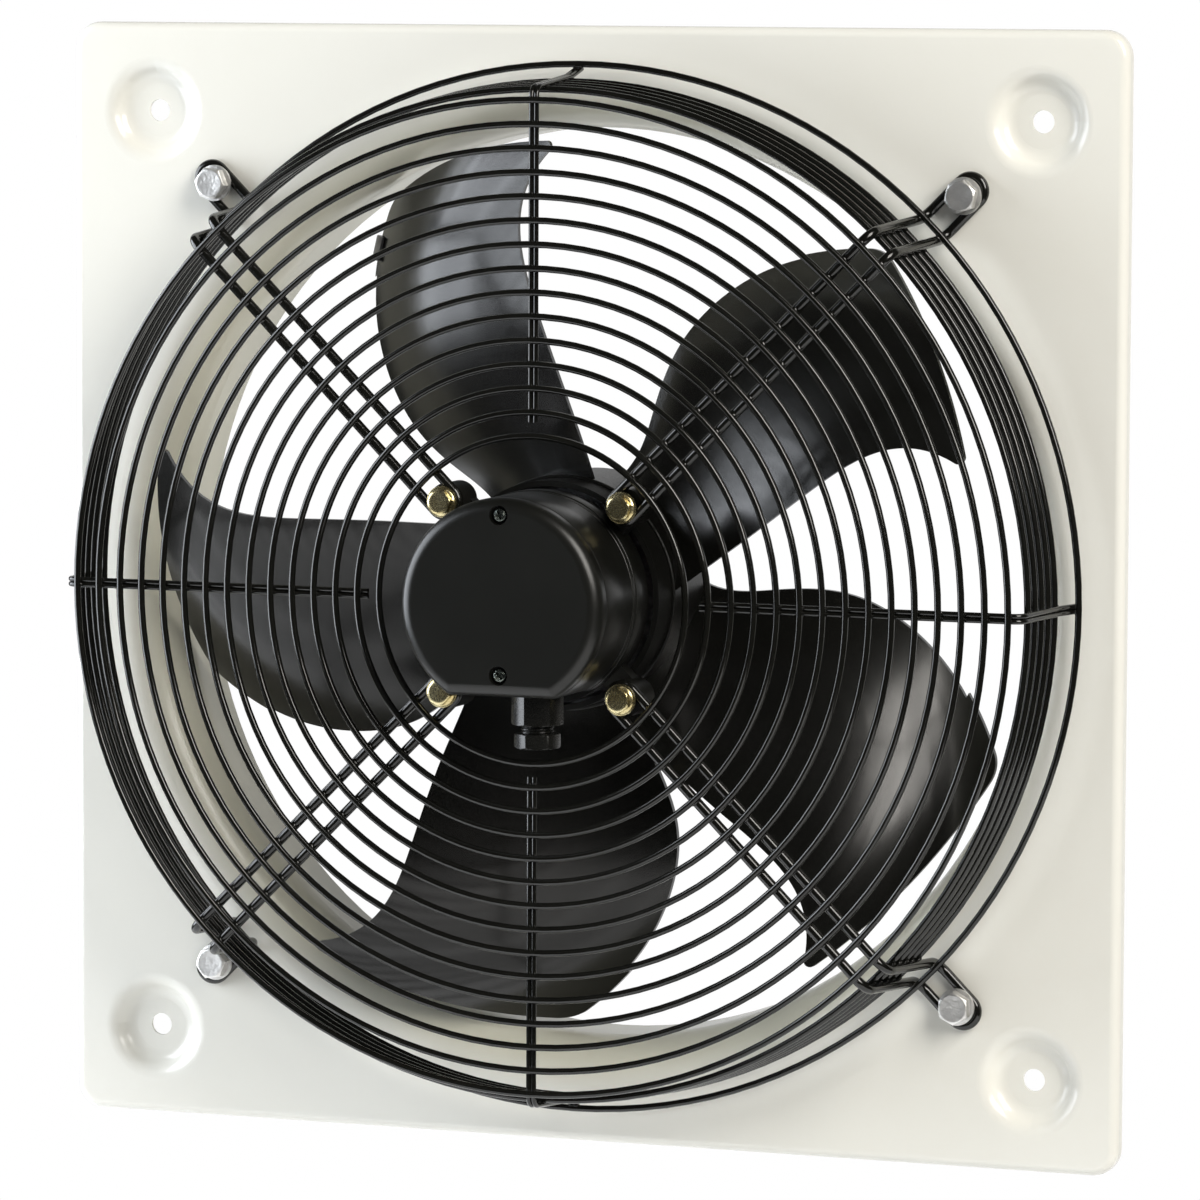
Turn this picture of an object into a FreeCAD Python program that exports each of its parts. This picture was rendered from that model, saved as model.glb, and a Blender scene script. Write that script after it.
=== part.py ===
import FreeCAD, Part
import math
import os
import re
import Sketcher
from FreeCAD import Placement, Rotation, Vector

# Wall-mounted axial fan. The fan axis is Y, the front looks along -Y and +Z is up.
# The origin is the centre of the four wall holes, on the wall. A place called front is a
# distance ahead of the wall, so its Y is the same number with a minus sign.

sizes = {
    # Wall plate with its bell mouth and dished wall holes
    "throat_dia": 409,
    "mouth_round": 25.5,
    "throat_rear": 44,
    "plate_margin": 20,
    "plate_stand": 8,
    "plate_sheet": 1.5,
    "plate_corner": 12,
    "plate_edge": 4,
    "wall_hole_inset": 40,
    "wall_hole_dia": 10,
    "dish_rim_dia": 49.5,
    "dish_floor_dia": 24,
    # Wire guard
    "guard_height": 65,
    "ring_wire": 3,
    "front_ring_count": 15,
    "inner_ring_count": 4,
    "front_ring_setback": 6.7,
    "inner_ring_margin": 12.6,
    "side_ring_count": 5,
    "side_ring_drop": 14,
    "side_ring_pitch": 7.5,
    "base_ring_height": 10,
    "strut_wire": 4.5,
    "strut_spacing": 12.6,
    "strut_bend": 7,
    "leg_offset": 0.7,
    "leg_flare": 5.5,
    "foot_length": 20.7,
    "foot_overhang": 3,
    "stay_wire": 2.3,
    "stay_bend": 5,
    "stay_overhang": 4.5,
    "weld_depth": 0.5,
    # Fasteners of the guard
    "plate_bolt_dia": 8,
    "plate_bolt_flats": 13,
    "plate_bolt_head": 5.3,
    "plate_bolt_end": 1,
    "plate_washer_dia": 16.4,
    "plate_nut_height": 5,
    "motor_screw_radius": 59.4,
    "motor_screw_dia": 6,
    "motor_screw_flats": 10,
    "motor_screw_head": 4,
    "motor_screw_reach": 12,
    "motor_washer_dia": 14,
    "washer_thick": 1.6,
    "thread_gap": 0.05,
    "bolt_hole_gap": 0.5,
    # Motor
    "lug_dia": 16,
    "lug_rise": 8,
    "arm_width": 12,
    "flange_dia": 94,
    "flange_thick": 8,
    "rotor_gap": 2,
    "rotor_length": 66,
    "rotor_wall": 2.5,
    "rotor_round": 6,
    "rotor_core_wall": 8,
    "rotor_core_lap": 2,
    "air_gap": 0.5,
    "stator_dia": 80,
    "stator_length": 44,
    "stator_setback": 8,
    "winding_overhang": 7,
    "winding_inset": 3,
    "tube_wall": 4,
    "tube_step": 3,
    "tube_end_gap": 3.5,
    "shaft_dia": 12,
    "shaft_collar_step": 2,
    "bearing_dia": 32,
    "bearing_width": 10,
    "bearing_inset": 3,
    "bearing_recess": 0.6,
    "bearing_race": 3,
    "spring_thick": 2,
    "spring_inset": 0.6,
    "spring_width": 4,
    "circlip_thick": 1.2,
    "circlip_width": 2.5,
    "circlip_groove": 0.5,
    "running_gap": 0.03,
    "end_gap": 0.3,
    # Impeller
    "tip_gap": 4.5,
    "hub_wall": 1.5,
    "hub_round": 0.8,
    "hub_setback": 16.5,
    "hub_length": 44,
    "blade_sheet": 2.5,
    "blade_pitch": 31,
    "blade_camber": 7,
    "blade_turn": 105.2,
    "blade_tip_round": 18,
    "blade_hook_round": 2.5,
    "blade_tab": 0.7,
    "lead_foot": -30,
    "lead_root": -23.5,
    "lead_inner": -16.4,
    "lead_middle": -10.75,
    "lead_outer": -8.9,
    "lead_tip": -15.7,
    "trail_foot": 42,
    "trail_root": 38.6,
    "trail_inner": 39.6,
    "trail_middle": 36.7,
    "trail_outer": 28.1,
    "trail_tip": 15.7,
    "tab_start": 0.84,
    # Terminal box
    "box_radius": 46.8,
    "box_rise": 0.8,
    "box_flat": 39,
    "box_depth": 42.2,
    "box_wall": 2.5,
    "box_floor": 2.5,
    "box_corner": 5,
    "collar_step": 0.5,
    "collar_depth": 7.3,
    "gasket_thick": 1,
    "gasket_inset": 0.2,
    "cover_depth": 9,
    "cover_front": 3,
    "cover_round": 6,
    "post_dia": 9,
    "post_web": 6,
    "post_clear": 0.8,
    "upper_post": 40.2,
    "lower_post": 29.5,
    "cover_boss_dia": 11,
    "cover_screw_dia": 4,
    "cover_screw_head_dia": 6.6,
    "cover_screw_head": 2.4,
    "cover_screw_reach": 7,
    "cover_recess_dia": 8.4,
    "cover_recess": 3.4,
    "cross_length": 4,
    "cross_width": 1,
    "cross_depth": 1.4,
    "box_screw_place": 33,
    "box_screw_dia": 4,
    "box_screw_head_dia": 8,
    "box_screw_head": 2.5,
    "box_screw_reach": 6,
    "lead_hole_dia": 10,
    "lead_hole_right": 27,
    "lead_hole_down": 22,
    "block_width": 40,
    "block_depth": 16,
    "block_height": 14,
    "block_drop": 20,
    "block_slot": 6,
    "capacitor_dia": 25,
    "capacitor_length": 44,
    "capacitor_rise": 18,
    # Cable gland
    "gland_clear": 1.4,
    "gland_right": 6.05,
    "gland_thread": 16,
    "gland_thread_length": 8,
    "gland_flats": 20.4,
    "gland_turn": 20,
    "gland_body_length": 14.5,
    "gland_neck_dia": 14.5,
    "gland_neck": 3.7,
    "gland_neck_lap": 4,
    "gland_bore": 9,
    "gland_seat_dia": 11.5,
    "gland_seat_depth": 8,
    "gland_nut_flats": 18.2,
    "gland_nut_length": 6.8,
    "gland_cord_dia": 7,
    "locknut_flats": 20,
    "locknut_height": 4,
}

doc = FreeCAD.newDocument("AxialFan")
sheet = doc.addObject("Spreadsheet::Sheet", "Sizes")
for row, (alias, number) in enumerate(sizes.items(), start=1):
    sheet.set(f"A{row}", alias)
    sheet.set(f"B{row}", str(number))
    sheet.setAlias(f"B{row}", alias)
doc.recompute()

# Derived places, as expressions of the sheet
throat_radius = "throat_dia / 2"
mouth_radius = "(throat_dia / 2 + mouth_round)"
plate_half = f"({mouth_radius} + plate_margin)"
wall_hole_place = f"({plate_half} - wall_hole_inset)"
ring_front = "(plate_stand + guard_height)"
strut_front = f"({ring_front} - (ring_wire + strut_wire) / 2 + weld_depth)"
stay_front = f"({ring_front} - (ring_wire + stay_wire) / 2 + weld_depth)"
foot_front = "(plate_stand + strut_wire / 2)"
leg_foot = f"({mouth_radius} + leg_offset)"
leg_top = f"({leg_foot} - leg_flare)"
leg_slope = f"(leg_flare / ({strut_front} - {foot_front}))"
bolt_radius = f"({leg_foot} + foot_length)"
front_ring_outer = f"({leg_top} - front_ring_setback)"
front_ring_inner = "(motor_screw_radius + inner_ring_margin)"
front_ring_pitch = f"(({front_ring_outer} - {front_ring_inner}) / (front_ring_count - 1))"
strut_lap = "((ring_wire + strut_wire) / 2 - weld_depth)"
stay_lap = "((ring_wire + stay_wire) / 2 - weld_depth)"
base_ring_front = "(plate_stand + base_ring_height)"
base_ring_radius = f"({leg_foot} - ({base_ring_front} - {foot_front}) * {leg_slope} + {strut_lap})"
side_ring_first = f"({ring_front} - side_ring_drop)"
side_ring_last = f"({side_ring_first} - (side_ring_count - 1) * side_ring_pitch)"

lug_front = f"({strut_front} - strut_wire / 2)"
flange_front = f"({lug_front} - lug_rise)"
flange_back = f"({flange_front} - flange_thick)"
rotor_front = f"({flange_back} - rotor_gap)"
rotor_back = f"({rotor_front} - rotor_length)"
rotor_floor = f"({rotor_back} + rotor_wall)"
stator_front = f"({rotor_front} - stator_setback)"
stator_back = f"({stator_front} - stator_length)"
shaft_radius = "(shaft_dia / 2)"
bearing_radius = "(bearing_dia / 2)"
tube_radius = "(bearing_dia / 2 + tube_wall)"
tube_back = f"({rotor_floor} + tube_end_gap)"
front_bearing_front = f"({flange_front} - bearing_inset)"
front_bearing_back = f"({front_bearing_front} - bearing_width)"
rear_bearing_front = f"({tube_back} + bearing_width)"
rear_seat_front = f"({rear_bearing_front} + spring_thick)"
circlip_back = f"({front_bearing_front} + end_gap)"
circlip_front = f"({circlip_back} + circlip_thick)"
shaft_front = f"({circlip_front} + circlip_groove)"
stator_radius = "(stator_dia / 2)"
core_inner = "(stator_dia / 2 + air_gap)"
can_inner = f"({core_inner} + rotor_core_wall)"
can_outer = f"({can_inner} + rotor_wall)"
hub_radius = f"({can_outer} + hub_wall)"
hub_front = f"({rotor_front} - hub_setback)"
hub_back = f"({hub_front} - hub_length)"
tip_radius = f"({throat_radius} - tip_gap)"

box_back = flange_front
box_inside = f"({box_back} + box_floor)"
box_front = f"({box_back} + box_depth)"
cover_back = f"({box_front} + gasket_thick)"
cover_face = f"({cover_back} + cover_depth)"
cover_seat = f"({cover_face} - cover_recess)"
gland_front = f"({box_back} + collar_depth + gland_clear + gland_flats / sqrt(3))"
posts_back = f"({gland_front} + locknut_flats / sqrt(3) + post_clear)"
gland_neck_end = "(gland_body_length + gland_neck + gland_neck_lap)"


# Expressions are written with bare aliases and bound with the sheet's name before each
def in_sheet(text):
    return re.sub(r"[a-z][a-z_]+", lambda word: f"Sizes.{word[0]}" if word[0] in sizes else word[0], text)


def value(text):
    return float(sheet.evalExpression(in_sheet(text)))


def bind(item, name, text):
    item.setExpression(name, in_sheet(text))


# A sketch on one of the body's own origin planes, lifted along and turned about its normal.
# On XZ the lift is a front distance, and on XY the sketch holds radius and Y.
def sketch_on(body, name, role, lift="0", turn=0, right="0"):
    plane = next(item for item in body.Origin.OriginFeatures if item.Role == role)
    sketch = body.newObject("Sketcher::SketchObject", name)
    sketch.AttachmentSupport = [(plane, "")]
    sketch.MapMode = "FlatFace"
    sketch.AttachmentOffset = Placement(Vector(0, 0, 0), Rotation(Vector(0, 0, 1), turn))
    bind(sketch, "AttachmentOffset.Base.z", lift)
    bind(sketch, "AttachmentOffset.Base.x", right)
    return sketch


def constrain(sketch, kind, references, text):
    index = sketch.addConstraint(Sketcher.Constraint(kind, *references, value(text)))
    bind(sketch, f"Constraints[{index}]", text)


def pin(sketch, geometry, point, across, along):
    constrain(sketch, "DistanceX", (-1, 1, geometry, point), across)
    constrain(sketch, "DistanceY", (-1, 1, geometry, point), along)


# An arc from start to finish, counter-clockwise where turn is 1 and clockwise where it is -1
def arc_between(start, finish, radius, turn):
    chord = finish - start
    side = Vector(-chord.y, chord.x, 0).normalize()
    rise = math.sqrt(max(radius ** 2 - (chord.Length / 2) ** 2, 0))
    centre = (start + finish) * 0.5 + side * (rise * turn)
    first, last = (start, finish) if turn > 0 else (finish, start)
    angles = [math.atan2(place.y - centre.y, place.x - centre.x) for place in (first, last)]
    if angles[1] < angles[0]:
        angles[1] += 2 * math.pi
    return Part.ArcOfCircle(Part.Circle(centre, Vector(0, 0, 1), radius), *angles)


# A closed outline through corners. arcs gives the radius and turn of the sides that are round.
def add_outline(sketch, corners, arcs=None):
    arcs = arcs or {}
    places = [Vector(value(across), value(along), 0) for across, along in corners]
    sides = []
    for index, start in enumerate(places):
        finish = places[(index + 1) % len(places)]
        if index in arcs:
            radius, turn = arcs[index]
            side = sketch.addGeometry(arc_between(start, finish, value(radius), turn))
            sides.append((side, 1, 2) if turn > 0 else (side, 2, 1))
        else:
            side = sketch.addGeometry(Part.LineSegment(start, finish))
            sides.append((side, 1, 2))
    for index, (side, begin, end) in enumerate(sides):
        after, after_begin, after_end = sides[(index + 1) % len(sides)]
        sketch.addConstraint(Sketcher.Constraint("Coincident", side, end, after, after_begin))
        pin(sketch, side, begin, *corners[index])
        if index in arcs:
            constrain(sketch, "Radius", (side,), arcs[index][0])


def add_circle(sketch, across, along, dia):
    circle = Part.Circle(Vector(value(across), value(along), 0), Vector(0, 0, 1), value(dia) / 2)
    geometry = sketch.addGeometry(circle)
    pin(sketch, geometry, 3, across, along)
    constrain(sketch, "Diameter", (geometry,), dia)


def add_box(sketch, left, bottom, right, top):
    add_outline(sketch, [(left, bottom), (right, bottom), (right, top), (left, top)])


# A hexagon with two flats across its second axis
def add_hexagon(sketch, across, along, flats):
    corner = f"{flats} / sqrt(3)"
    half = f"{flats} / sqrt(3) / 2"
    add_outline(sketch, [
        (f"{across} + {corner}", along),
        (f"{across} + {half}", f"{along} + {flats} / 2"),
        (f"{across} - {half}", f"{along} + {flats} / 2"),
        (f"{across} - {corner}", along),
        (f"{across} - {half}", f"{along} - {flats} / 2"),
        (f"{across} + {half}", f"{along} - {flats} / 2"),
    ])


# The terminal box's outline: a circle set above the fan axis, cut by a flat below it
def add_box_outline(sketch, inset):
    radius = f"(box_radius - {inset})"
    drop = f"(box_flat + box_rise - {inset})"
    low = f"box_rise - {drop}"
    half = f"sqrt({radius} ^ 2 - {drop} ^ 2)"
    corner = math.atan2(-value(drop), value(half))
    circle = Part.Circle(Vector(0, value("box_rise"), 0), Vector(0, 0, 1), value(radius))
    round_side = sketch.addGeometry(Part.ArcOfCircle(circle, corner, math.pi - corner))
    left = Vector(-value(half), value(low), 0)
    right = Vector(value(half), value(low), 0)
    flat_side = sketch.addGeometry(Part.LineSegment(left, right))
    sketch.addConstraint(Sketcher.Constraint("Coincident", round_side, 2, flat_side, 1))
    sketch.addConstraint(Sketcher.Constraint("Coincident", flat_side, 2, round_side, 1))
    sketch.addConstraint(Sketcher.Constraint("Horizontal", flat_side))
    pin(sketch, round_side, 3, "0", "box_rise")
    constrain(sketch, "Radius", (round_side,), radius)
    constrain(sketch, "DistanceY", (-1, 1, flat_side, 1), low)


nodes = {}


def new_body(label, several=False):
    body = doc.addObject("PartDesign::Body", label)
    body.Label = label
    body.AllowCompound = several
    nodes[label] = body
    return body


def feature(body, kind, name, sketch):
    item = body.newObject(f"PartDesign::{kind}", name)
    item.Profile = sketch
    return item


def pad(body, sketch, length):
    item = feature(body, "Pad", f"{sketch.Name}_pad", sketch)
    bind(item, "Length", length)
    return item


# A pocket cuts against its sketch's normal, or along it where ahead is true
def pocket(body, sketch, length, ahead=False):
    doc.recompute()
    before = body.Shape.Volume
    item = feature(body, "Pocket", f"{sketch.Name}_pocket", sketch)
    item.Reversed = ahead
    bind(item, "Length", length)
    doc.recompute()
    if body.Shape.Volume >= before:
        raise RuntimeError(f"{sketch.Name} cuts nothing")
    return item


def revolve(body, sketch):
    item = feature(body, "Revolution", f"{sketch.Name}_revolution", sketch)
    item.ReferenceAxis = (sketch, ["V_Axis"])
    item.Angle = 360
    return item


def repeat_round(body, originals, count):
    axis = next(item for item in body.Origin.OriginFeatures if item.Role == "Y_Axis")
    item = body.newObject("PartDesign::PolarPattern", f"{originals[0].Name}_pattern")
    item.Originals = originals
    item.Axis = (axis, [""])
    item.Angle = 360
    item.Occurrences = count
    body.Tip = item
    return item


def round_edges(body, name, radius, chosen):
    doc.recompute()
    base = body.Tip
    names = [f"Edge{number}" for number, edge in enumerate(base.Shape.Edges, 1) if chosen(edge)]
    item = body.newObject("PartDesign::Fillet", name)
    item.Base = (base, names)
    bind(item, "Radius", radius)
    doc.recompute()
    return item


# Whether an edge lies in the plane at a front distance
def lies_at(edge, front):
    box = edge.BoundBox
    return abs(box.YMin + front) < 1e-4 and abs(box.YMax + front) < 1e-4


# Whether an edge is straight and runs front to back
def runs_back(edge):
    return edge.BoundBox.XLength < 1e-4 and edge.BoundBox.ZLength < 1e-4


# A turned piece: an outline of radius and front distance, spun about the fan axis
def turned(label, corners, arcs=None):
    body = new_body(label)
    sketch = sketch_on(body, f"{label}_section", "XY_Plane")
    add_outline(sketch, [(radius, f"-({front})") for radius, front in corners], arcs)
    revolve(body, sketch)
    return body


def sleeve(label, inner, outer, back, front):
    return turned(label, [(inner, back), (outer, back), (outer, front), (inner, front)])


# Wall plate: a shallow pressed tray with its bell mouth, throat and wall dishes
def wall_plate():
    body = new_body("wall_plate")
    tray = sketch_on(body, "tray", "XZ_Plane")
    add_box(tray, f"-{plate_half}", f"-{plate_half}", plate_half, plate_half)
    pad(body, tray, "plate_stand")
    round_edges(body, "plate_corners", "plate_corner", runs_back)
    round_edges(body, "plate_edges", "plate_edge", lambda edge: lies_at(edge, value("plate_stand")))
    base = body.Tip
    back_face = next(
        number for number, face in enumerate(base.Shape.Faces, 1) if abs(face.BoundBox.YMin) < 1e-4
    )
    shell = body.newObject("PartDesign::Thickness", "plate_shell")
    shell.Base = (base, [f"Face{back_face}"])
    bind(shell, "Value", "plate_sheet")
    shell.Reversed = True
    doc.recompute()

    mouth = sketch_on(body, "mouth", "XZ_Plane", "plate_stand")
    add_circle(mouth, "0", "0", f"2 * {mouth_radius}")
    pocket(body, mouth, "plate_sheet")
    bell = sketch_on(body, "bell", "XY_Plane")
    bell_front = "(plate_stand - mouth_round)"
    throat_outside = f"({throat_radius} + plate_sheet)"
    bell_corners = [
        (mouth_radius, "plate_stand"),
        (throat_radius, bell_front),
        (throat_radius, "-throat_rear"),
        (throat_outside, "-throat_rear"),
        (throat_outside, bell_front),
        (mouth_radius, "plate_stand - plate_sheet"),
    ]
    bell_arcs = {0: ("mouth_round", -1), 4: ("mouth_round - plate_sheet", 1)}
    add_outline(bell, [(radius, f"-({front})") for radius, front in bell_corners], bell_arcs)
    revolve(body, bell)

    bolt_holes = sketch_on(body, "bolt_holes", "XZ_Plane", "plate_stand", turn=45)
    for across, along in ((1, 0), (0, 1), (-1, 0), (0, -1)):
        hole_dia = "plate_bolt_dia + 2 * bolt_hole_gap"
        add_circle(bolt_holes, f"{across} * {bolt_radius}", f"{along} * {bolt_radius}", hole_dia)
    pocket(body, bolt_holes, "plate_sheet")

    # Each dish is two equal arcs, from the plate's face down to a floor that meets the wall
    opening = sketch_on(body, "dish_opening", "XZ_Plane", "plate_stand")
    add_circle(opening, wall_hole_place, wall_hole_place, "dish_rim_dia")
    cut = pocket(body, opening, "plate_sheet")
    run = "((dish_rim_dia - dish_floor_dia) / 2)"
    drop = "(plate_stand - plate_sheet)"
    arc = f"(({run} ^ 2 + {drop} ^ 2) / (4 * {drop}))"
    share = f"(({arc} - plate_sheet) / {arc})"
    rim = "(dish_rim_dia / 2)"
    floor = "(dish_floor_dia / 2)"
    dish_corners = [
        ("wall_hole_dia / 2", "plate_sheet"),
        (floor, "plate_sheet"),
        (f"{rim} - {run} / 2", f"plate_stand - {drop} / 2"),
        (rim, "plate_stand"),
        (rim, "plate_stand - plate_sheet"),
        (f"{rim} - {run} / 2 * {share}", f"plate_stand - {arc} + ({arc} - {drop} / 2) * {share}"),
        (floor, "0"),
        ("wall_hole_dia / 2", "0"),
    ]
    dish_arcs = {
        1: (arc, -1),
        2: (arc, 1),
        4: (f"{arc} - plate_sheet", -1),
        5: (f"{arc} + plate_sheet", 1),
    }
    dish = sketch_on(body, "dish", "XY_Plane", wall_hole_place, right=wall_hole_place)
    add_outline(dish, [(radius, f"-({front})") for radius, front in dish_corners], dish_arcs)
    repeat_round(body, [cut, revolve(body, dish)], 4)


# A path of straight runs through points, with a tangent arc of one radius at each bend
def bent_path(points, radius):
    edges = []
    start = points[0]
    for before, corner, after in zip(points, points[1:], points[2:]):
        inward = (corner - before).normalize()
        outward = (after - corner).normalize()
        half_turn = inward.getAngle(outward) / 2
        reach = radius * math.tan(half_turn)
        inside = (outward - inward).normalize()
        middle = corner + inside * (radius / math.cos(half_turn) - radius)
        finish = corner - inward * reach
        leave = corner + outward * reach
        edges.append(Part.LineSegment(start, finish).toShape())
        edges.append(Part.Arc(finish, middle, leave).toShape())
        start = leave
    edges.append(Part.LineSegment(start, points[-1]).toShape())
    return edges


# A round wire of a given diameter along the edges of a path
def wire_along(edges, dia):
    path = Part.Wire(edges)
    first = path.Edges[0]
    start = first.valueAt(first.FirstParameter)
    along = first.tangentAt(first.FirstParameter)
    section = Part.Wire([Part.Circle(start, along, dia / 2).toShape()])
    return path.makePipeShell([section], True, True)


def quarter_turn(centre, start, finish):
    middle = centre + (start + finish - centre * 2).normalize() * (start - centre).Length
    return Part.Arc(start, middle, finish).toShape()


def around(angle):
    return Placement(Vector(0, 0, 0), Rotation(Vector(0, -1, 0), angle))


def coded_node(label, shape, placement):
    item = doc.addObject("Part::Feature", label)
    item.Label = label
    item.Shape = shape
    item.Placement = placement
    nodes[label] = item


# A strut is a closed loop of wire: round the motor screw, out to the leg, down it and round the bolt,
# which the foot overhangs. One half of it lies beside the diagonal, and the other is its mirror image.
def strut_shape():
    half_space = value("strut_spacing") / 2
    high = -value(strut_front)
    low = -value(foot_front)
    screw = Vector(value("motor_screw_radius"), high, 0)
    foot_end = Vector(value(f"{bolt_radius} + foot_overhang"), low, 0)
    aside = Vector(0, 0, half_space)
    points = [
        screw + aside,
        Vector(value(leg_top), high, half_space),
        Vector(value(leg_foot), low, half_space),
        foot_end + aside,
    ]
    edges = [quarter_turn(screw, screw - Vector(half_space, 0, 0), screw + aside)]
    edges += bent_path(points, value("strut_bend"))
    edges.append(quarter_turn(foot_end, foot_end + aside, foot_end + Vector(half_space, 0, 0)))
    half = wire_along(edges, value("strut_wire"))
    return half.fuse(half.mirror(Vector(0, 0, 0), Vector(0, 0, 1))).removeSplitter()


# A stay is two thin wires side by side behind the front rings, down outside the side rings to the base ring
def stay_shape():
    def leg_radius(front):
        return value(f"{leg_foot} - ({front} - {foot_front}) * {leg_slope} - {strut_lap} + {stay_lap}")

    end_front = f"({base_ring_front} - ring_wire / 2)"
    solids = []
    for side in (-1, 1):
        offset = side * value("stay_wire") / 2
        points = [
            Vector(value(f"{front_ring_inner} + {front_ring_pitch} - stay_overhang"), -value(stay_front), offset),
            Vector(leg_radius(stay_front), -value(stay_front), offset),
            Vector(leg_radius(side_ring_last), -value(side_ring_last), offset),
            Vector(value(f"{base_ring_radius} - {stay_lap}"), -value(end_front), offset),
        ]
        solids.append(wire_along(bent_path(points, value("stay_bend")), value("stay_wire")))
    return Part.makeCompound(solids)


# Guard rings are tori about the fan axis
def ring_group(label, rings):
    tori = []
    for number, (radius, front) in enumerate(rings, 1):
        torus = doc.addObject("Part::Torus", f"{label}_{number}")
        bind(torus, "Radius1", radius)
        bind(torus, "Radius2", "ring_wire / 2")
        torus.Placement.Rotation = Rotation(Vector(1, 0, 0), 90)
        bind(torus, "Placement.Base.y", f"-{front}")
        tori.append(torus)
    if len(tori) > 1:
        group = doc.addObject("Part::Compound", label)
        group.Links = tori
    else:
        group = tori[0]
    group.Label = label
    nodes[label] = group


def guard():
    strut = strut_shape()
    for label, angle in (("upper_right", 45), ("upper_left", 135), ("lower_left", 225), ("lower_right", 315)):
        coded_node(f"strut_{label}", strut.copy(), around(angle))
    stay = stay_shape()
    for label, angle in (("right", 0), ("top", 90), ("left", 180), ("bottom", 270)):
        coded_node(f"stay_{label}", stay.copy(), around(angle))
    face_rings = []
    for number in range(sizes["front_ring_count"]):
        face_rings.append((f"{front_ring_outer} - {number} * {front_ring_pitch}", ring_front))
    ring_group("front_rings", face_rings[:-sizes["inner_ring_count"]])
    ring_group("inner_rings", face_rings[-sizes["inner_ring_count"]:])
    side_rings = []
    for number in range(sizes["side_ring_count"]):
        front = f"({side_ring_first} - {number} * side_ring_pitch)"
        side_rings.append((f"{leg_foot} - ({front} - {foot_front}) * {leg_slope} - {strut_lap}", front))
    ring_group("side_rings", side_rings)
    ring_group("base_ring", [(base_ring_radius, base_ring_front)])


# Four hex bolts through the strut feet, their washers, and nuts welded behind the plate
def plate_fasteners():
    seat = "(plate_stand + strut_wire)"
    head_seat = f"({seat} + washer_thick)"
    bolts = new_body("plate_bolts", several=True)
    shank = sketch_on(bolts, "bolt_shank", "XZ_Plane", "plate_bolt_end", turn=45)
    add_circle(shank, bolt_radius, "0", "plate_bolt_dia")
    shank_pad = pad(bolts, shank, f"{head_seat} - plate_bolt_end")
    head = sketch_on(bolts, "bolt_head", "XZ_Plane", head_seat, turn=45)
    add_hexagon(head, bolt_radius, "0", "plate_bolt_flats")
    head_pad = pad(bolts, head, "plate_bolt_head")
    doc.recompute()
    repeat_round(bolts, [shank_pad, head_pad], 4)

    washers = new_body("plate_washers", several=True)
    ring = sketch_on(washers, "plate_washer", "XZ_Plane", seat, turn=45)
    add_circle(ring, bolt_radius, "0", "plate_washer_dia")
    add_circle(ring, bolt_radius, "0", "plate_bolt_dia + 2 * bolt_hole_gap")
    repeat_round(washers, [pad(washers, ring, "washer_thick")], 4)

    nuts = new_body("plate_nuts", several=True)
    nut = sketch_on(nuts, "plate_nut", "XZ_Plane", "plate_stand - plate_sheet - plate_nut_height", turn=45)
    add_hexagon(nut, bolt_radius, "0", "plate_bolt_flats")
    add_circle(nut, bolt_radius, "0", "plate_bolt_dia + 2 * thread_gap")
    repeat_round(nuts, [pad(nuts, nut, "plate_nut_height")], 4)


# Four hex screws through the struts' inner loops into the motor lugs, with washers
def motor_fasteners():
    seat = f"({strut_front} + strut_wire / 2)"
    head_seat = f"({seat} + washer_thick)"
    screws = new_body("motor_screws", several=True)
    shank = sketch_on(screws, "motor_screw_shank", "XZ_Plane", f"{lug_front} - motor_screw_reach", turn=45)
    add_circle(shank, "motor_screw_radius", "0", "motor_screw_dia")
    shank_pad = pad(screws, shank, f"{head_seat} - {lug_front} + motor_screw_reach")
    head = sketch_on(screws, "motor_screw_hexagon", "XZ_Plane", head_seat, turn=45)
    add_hexagon(head, "motor_screw_radius", "0", "motor_screw_flats")
    head_pad = pad(screws, head, "motor_screw_head")
    repeat_round(screws, [shank_pad, head_pad], 4)

    washers = new_body("motor_washers", several=True)
    ring = sketch_on(washers, "motor_washer", "XZ_Plane", seat, turn=45)
    add_circle(ring, "motor_screw_radius", "0", "motor_washer_dia")
    add_circle(ring, "motor_screw_radius", "0", "motor_screw_dia + 2 * bolt_hole_gap")
    repeat_round(washers, [pad(washers, ring, "washer_thick")], 4)


# The flange is a disc with four raised lugs on arms, bored for the bearing tube, screws and motor leads
def motor_flange():
    body = new_body("motor_flange")
    disc = sketch_on(body, "flange_disc", "XZ_Plane", flange_back)
    add_circle(disc, "0", "0", "flange_dia")
    pad(body, disc, "flange_thick")
    arm = sketch_on(body, "flange_arm", "XZ_Plane", flange_back, turn=45)
    add_box(arm, "0", "-arm_width / 2", "motor_screw_radius", "arm_width / 2")
    arm_pad = pad(body, arm, "flange_thick")
    lug = sketch_on(body, "flange_lug", "XZ_Plane", flange_back, turn=45)
    add_circle(lug, "motor_screw_radius", "0", "lug_dia")
    lug_pad = pad(body, lug, "flange_thick + lug_rise")
    thread = sketch_on(body, "lug_thread", "XZ_Plane", lug_front, turn=45)
    add_circle(thread, "motor_screw_radius", "0", "motor_screw_dia + 2 * thread_gap")
    thread_pocket = pocket(body, thread, "motor_screw_reach + end_gap")
    repeat_round(body, [arm_pad, lug_pad, thread_pocket], 4)
    bores = sketch_on(body, "flange_bores", "XZ_Plane", flange_front)
    add_circle(bores, "0", "0", f"2 * {tube_radius}")
    add_circle(bores, "lead_hole_right", "-lead_hole_down", "lead_hole_dia")
    pocket(body, bores, "flange_thick")
    threads = sketch_on(body, "box_screw_threads", "XZ_Plane", flange_front)
    for side in ("", "-"):
        add_circle(threads, f"{side}box_screw_place", "box_rise", "box_screw_dia + 2 * thread_gap")
    pocket(body, threads, "box_screw_reach + end_gap")


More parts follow.
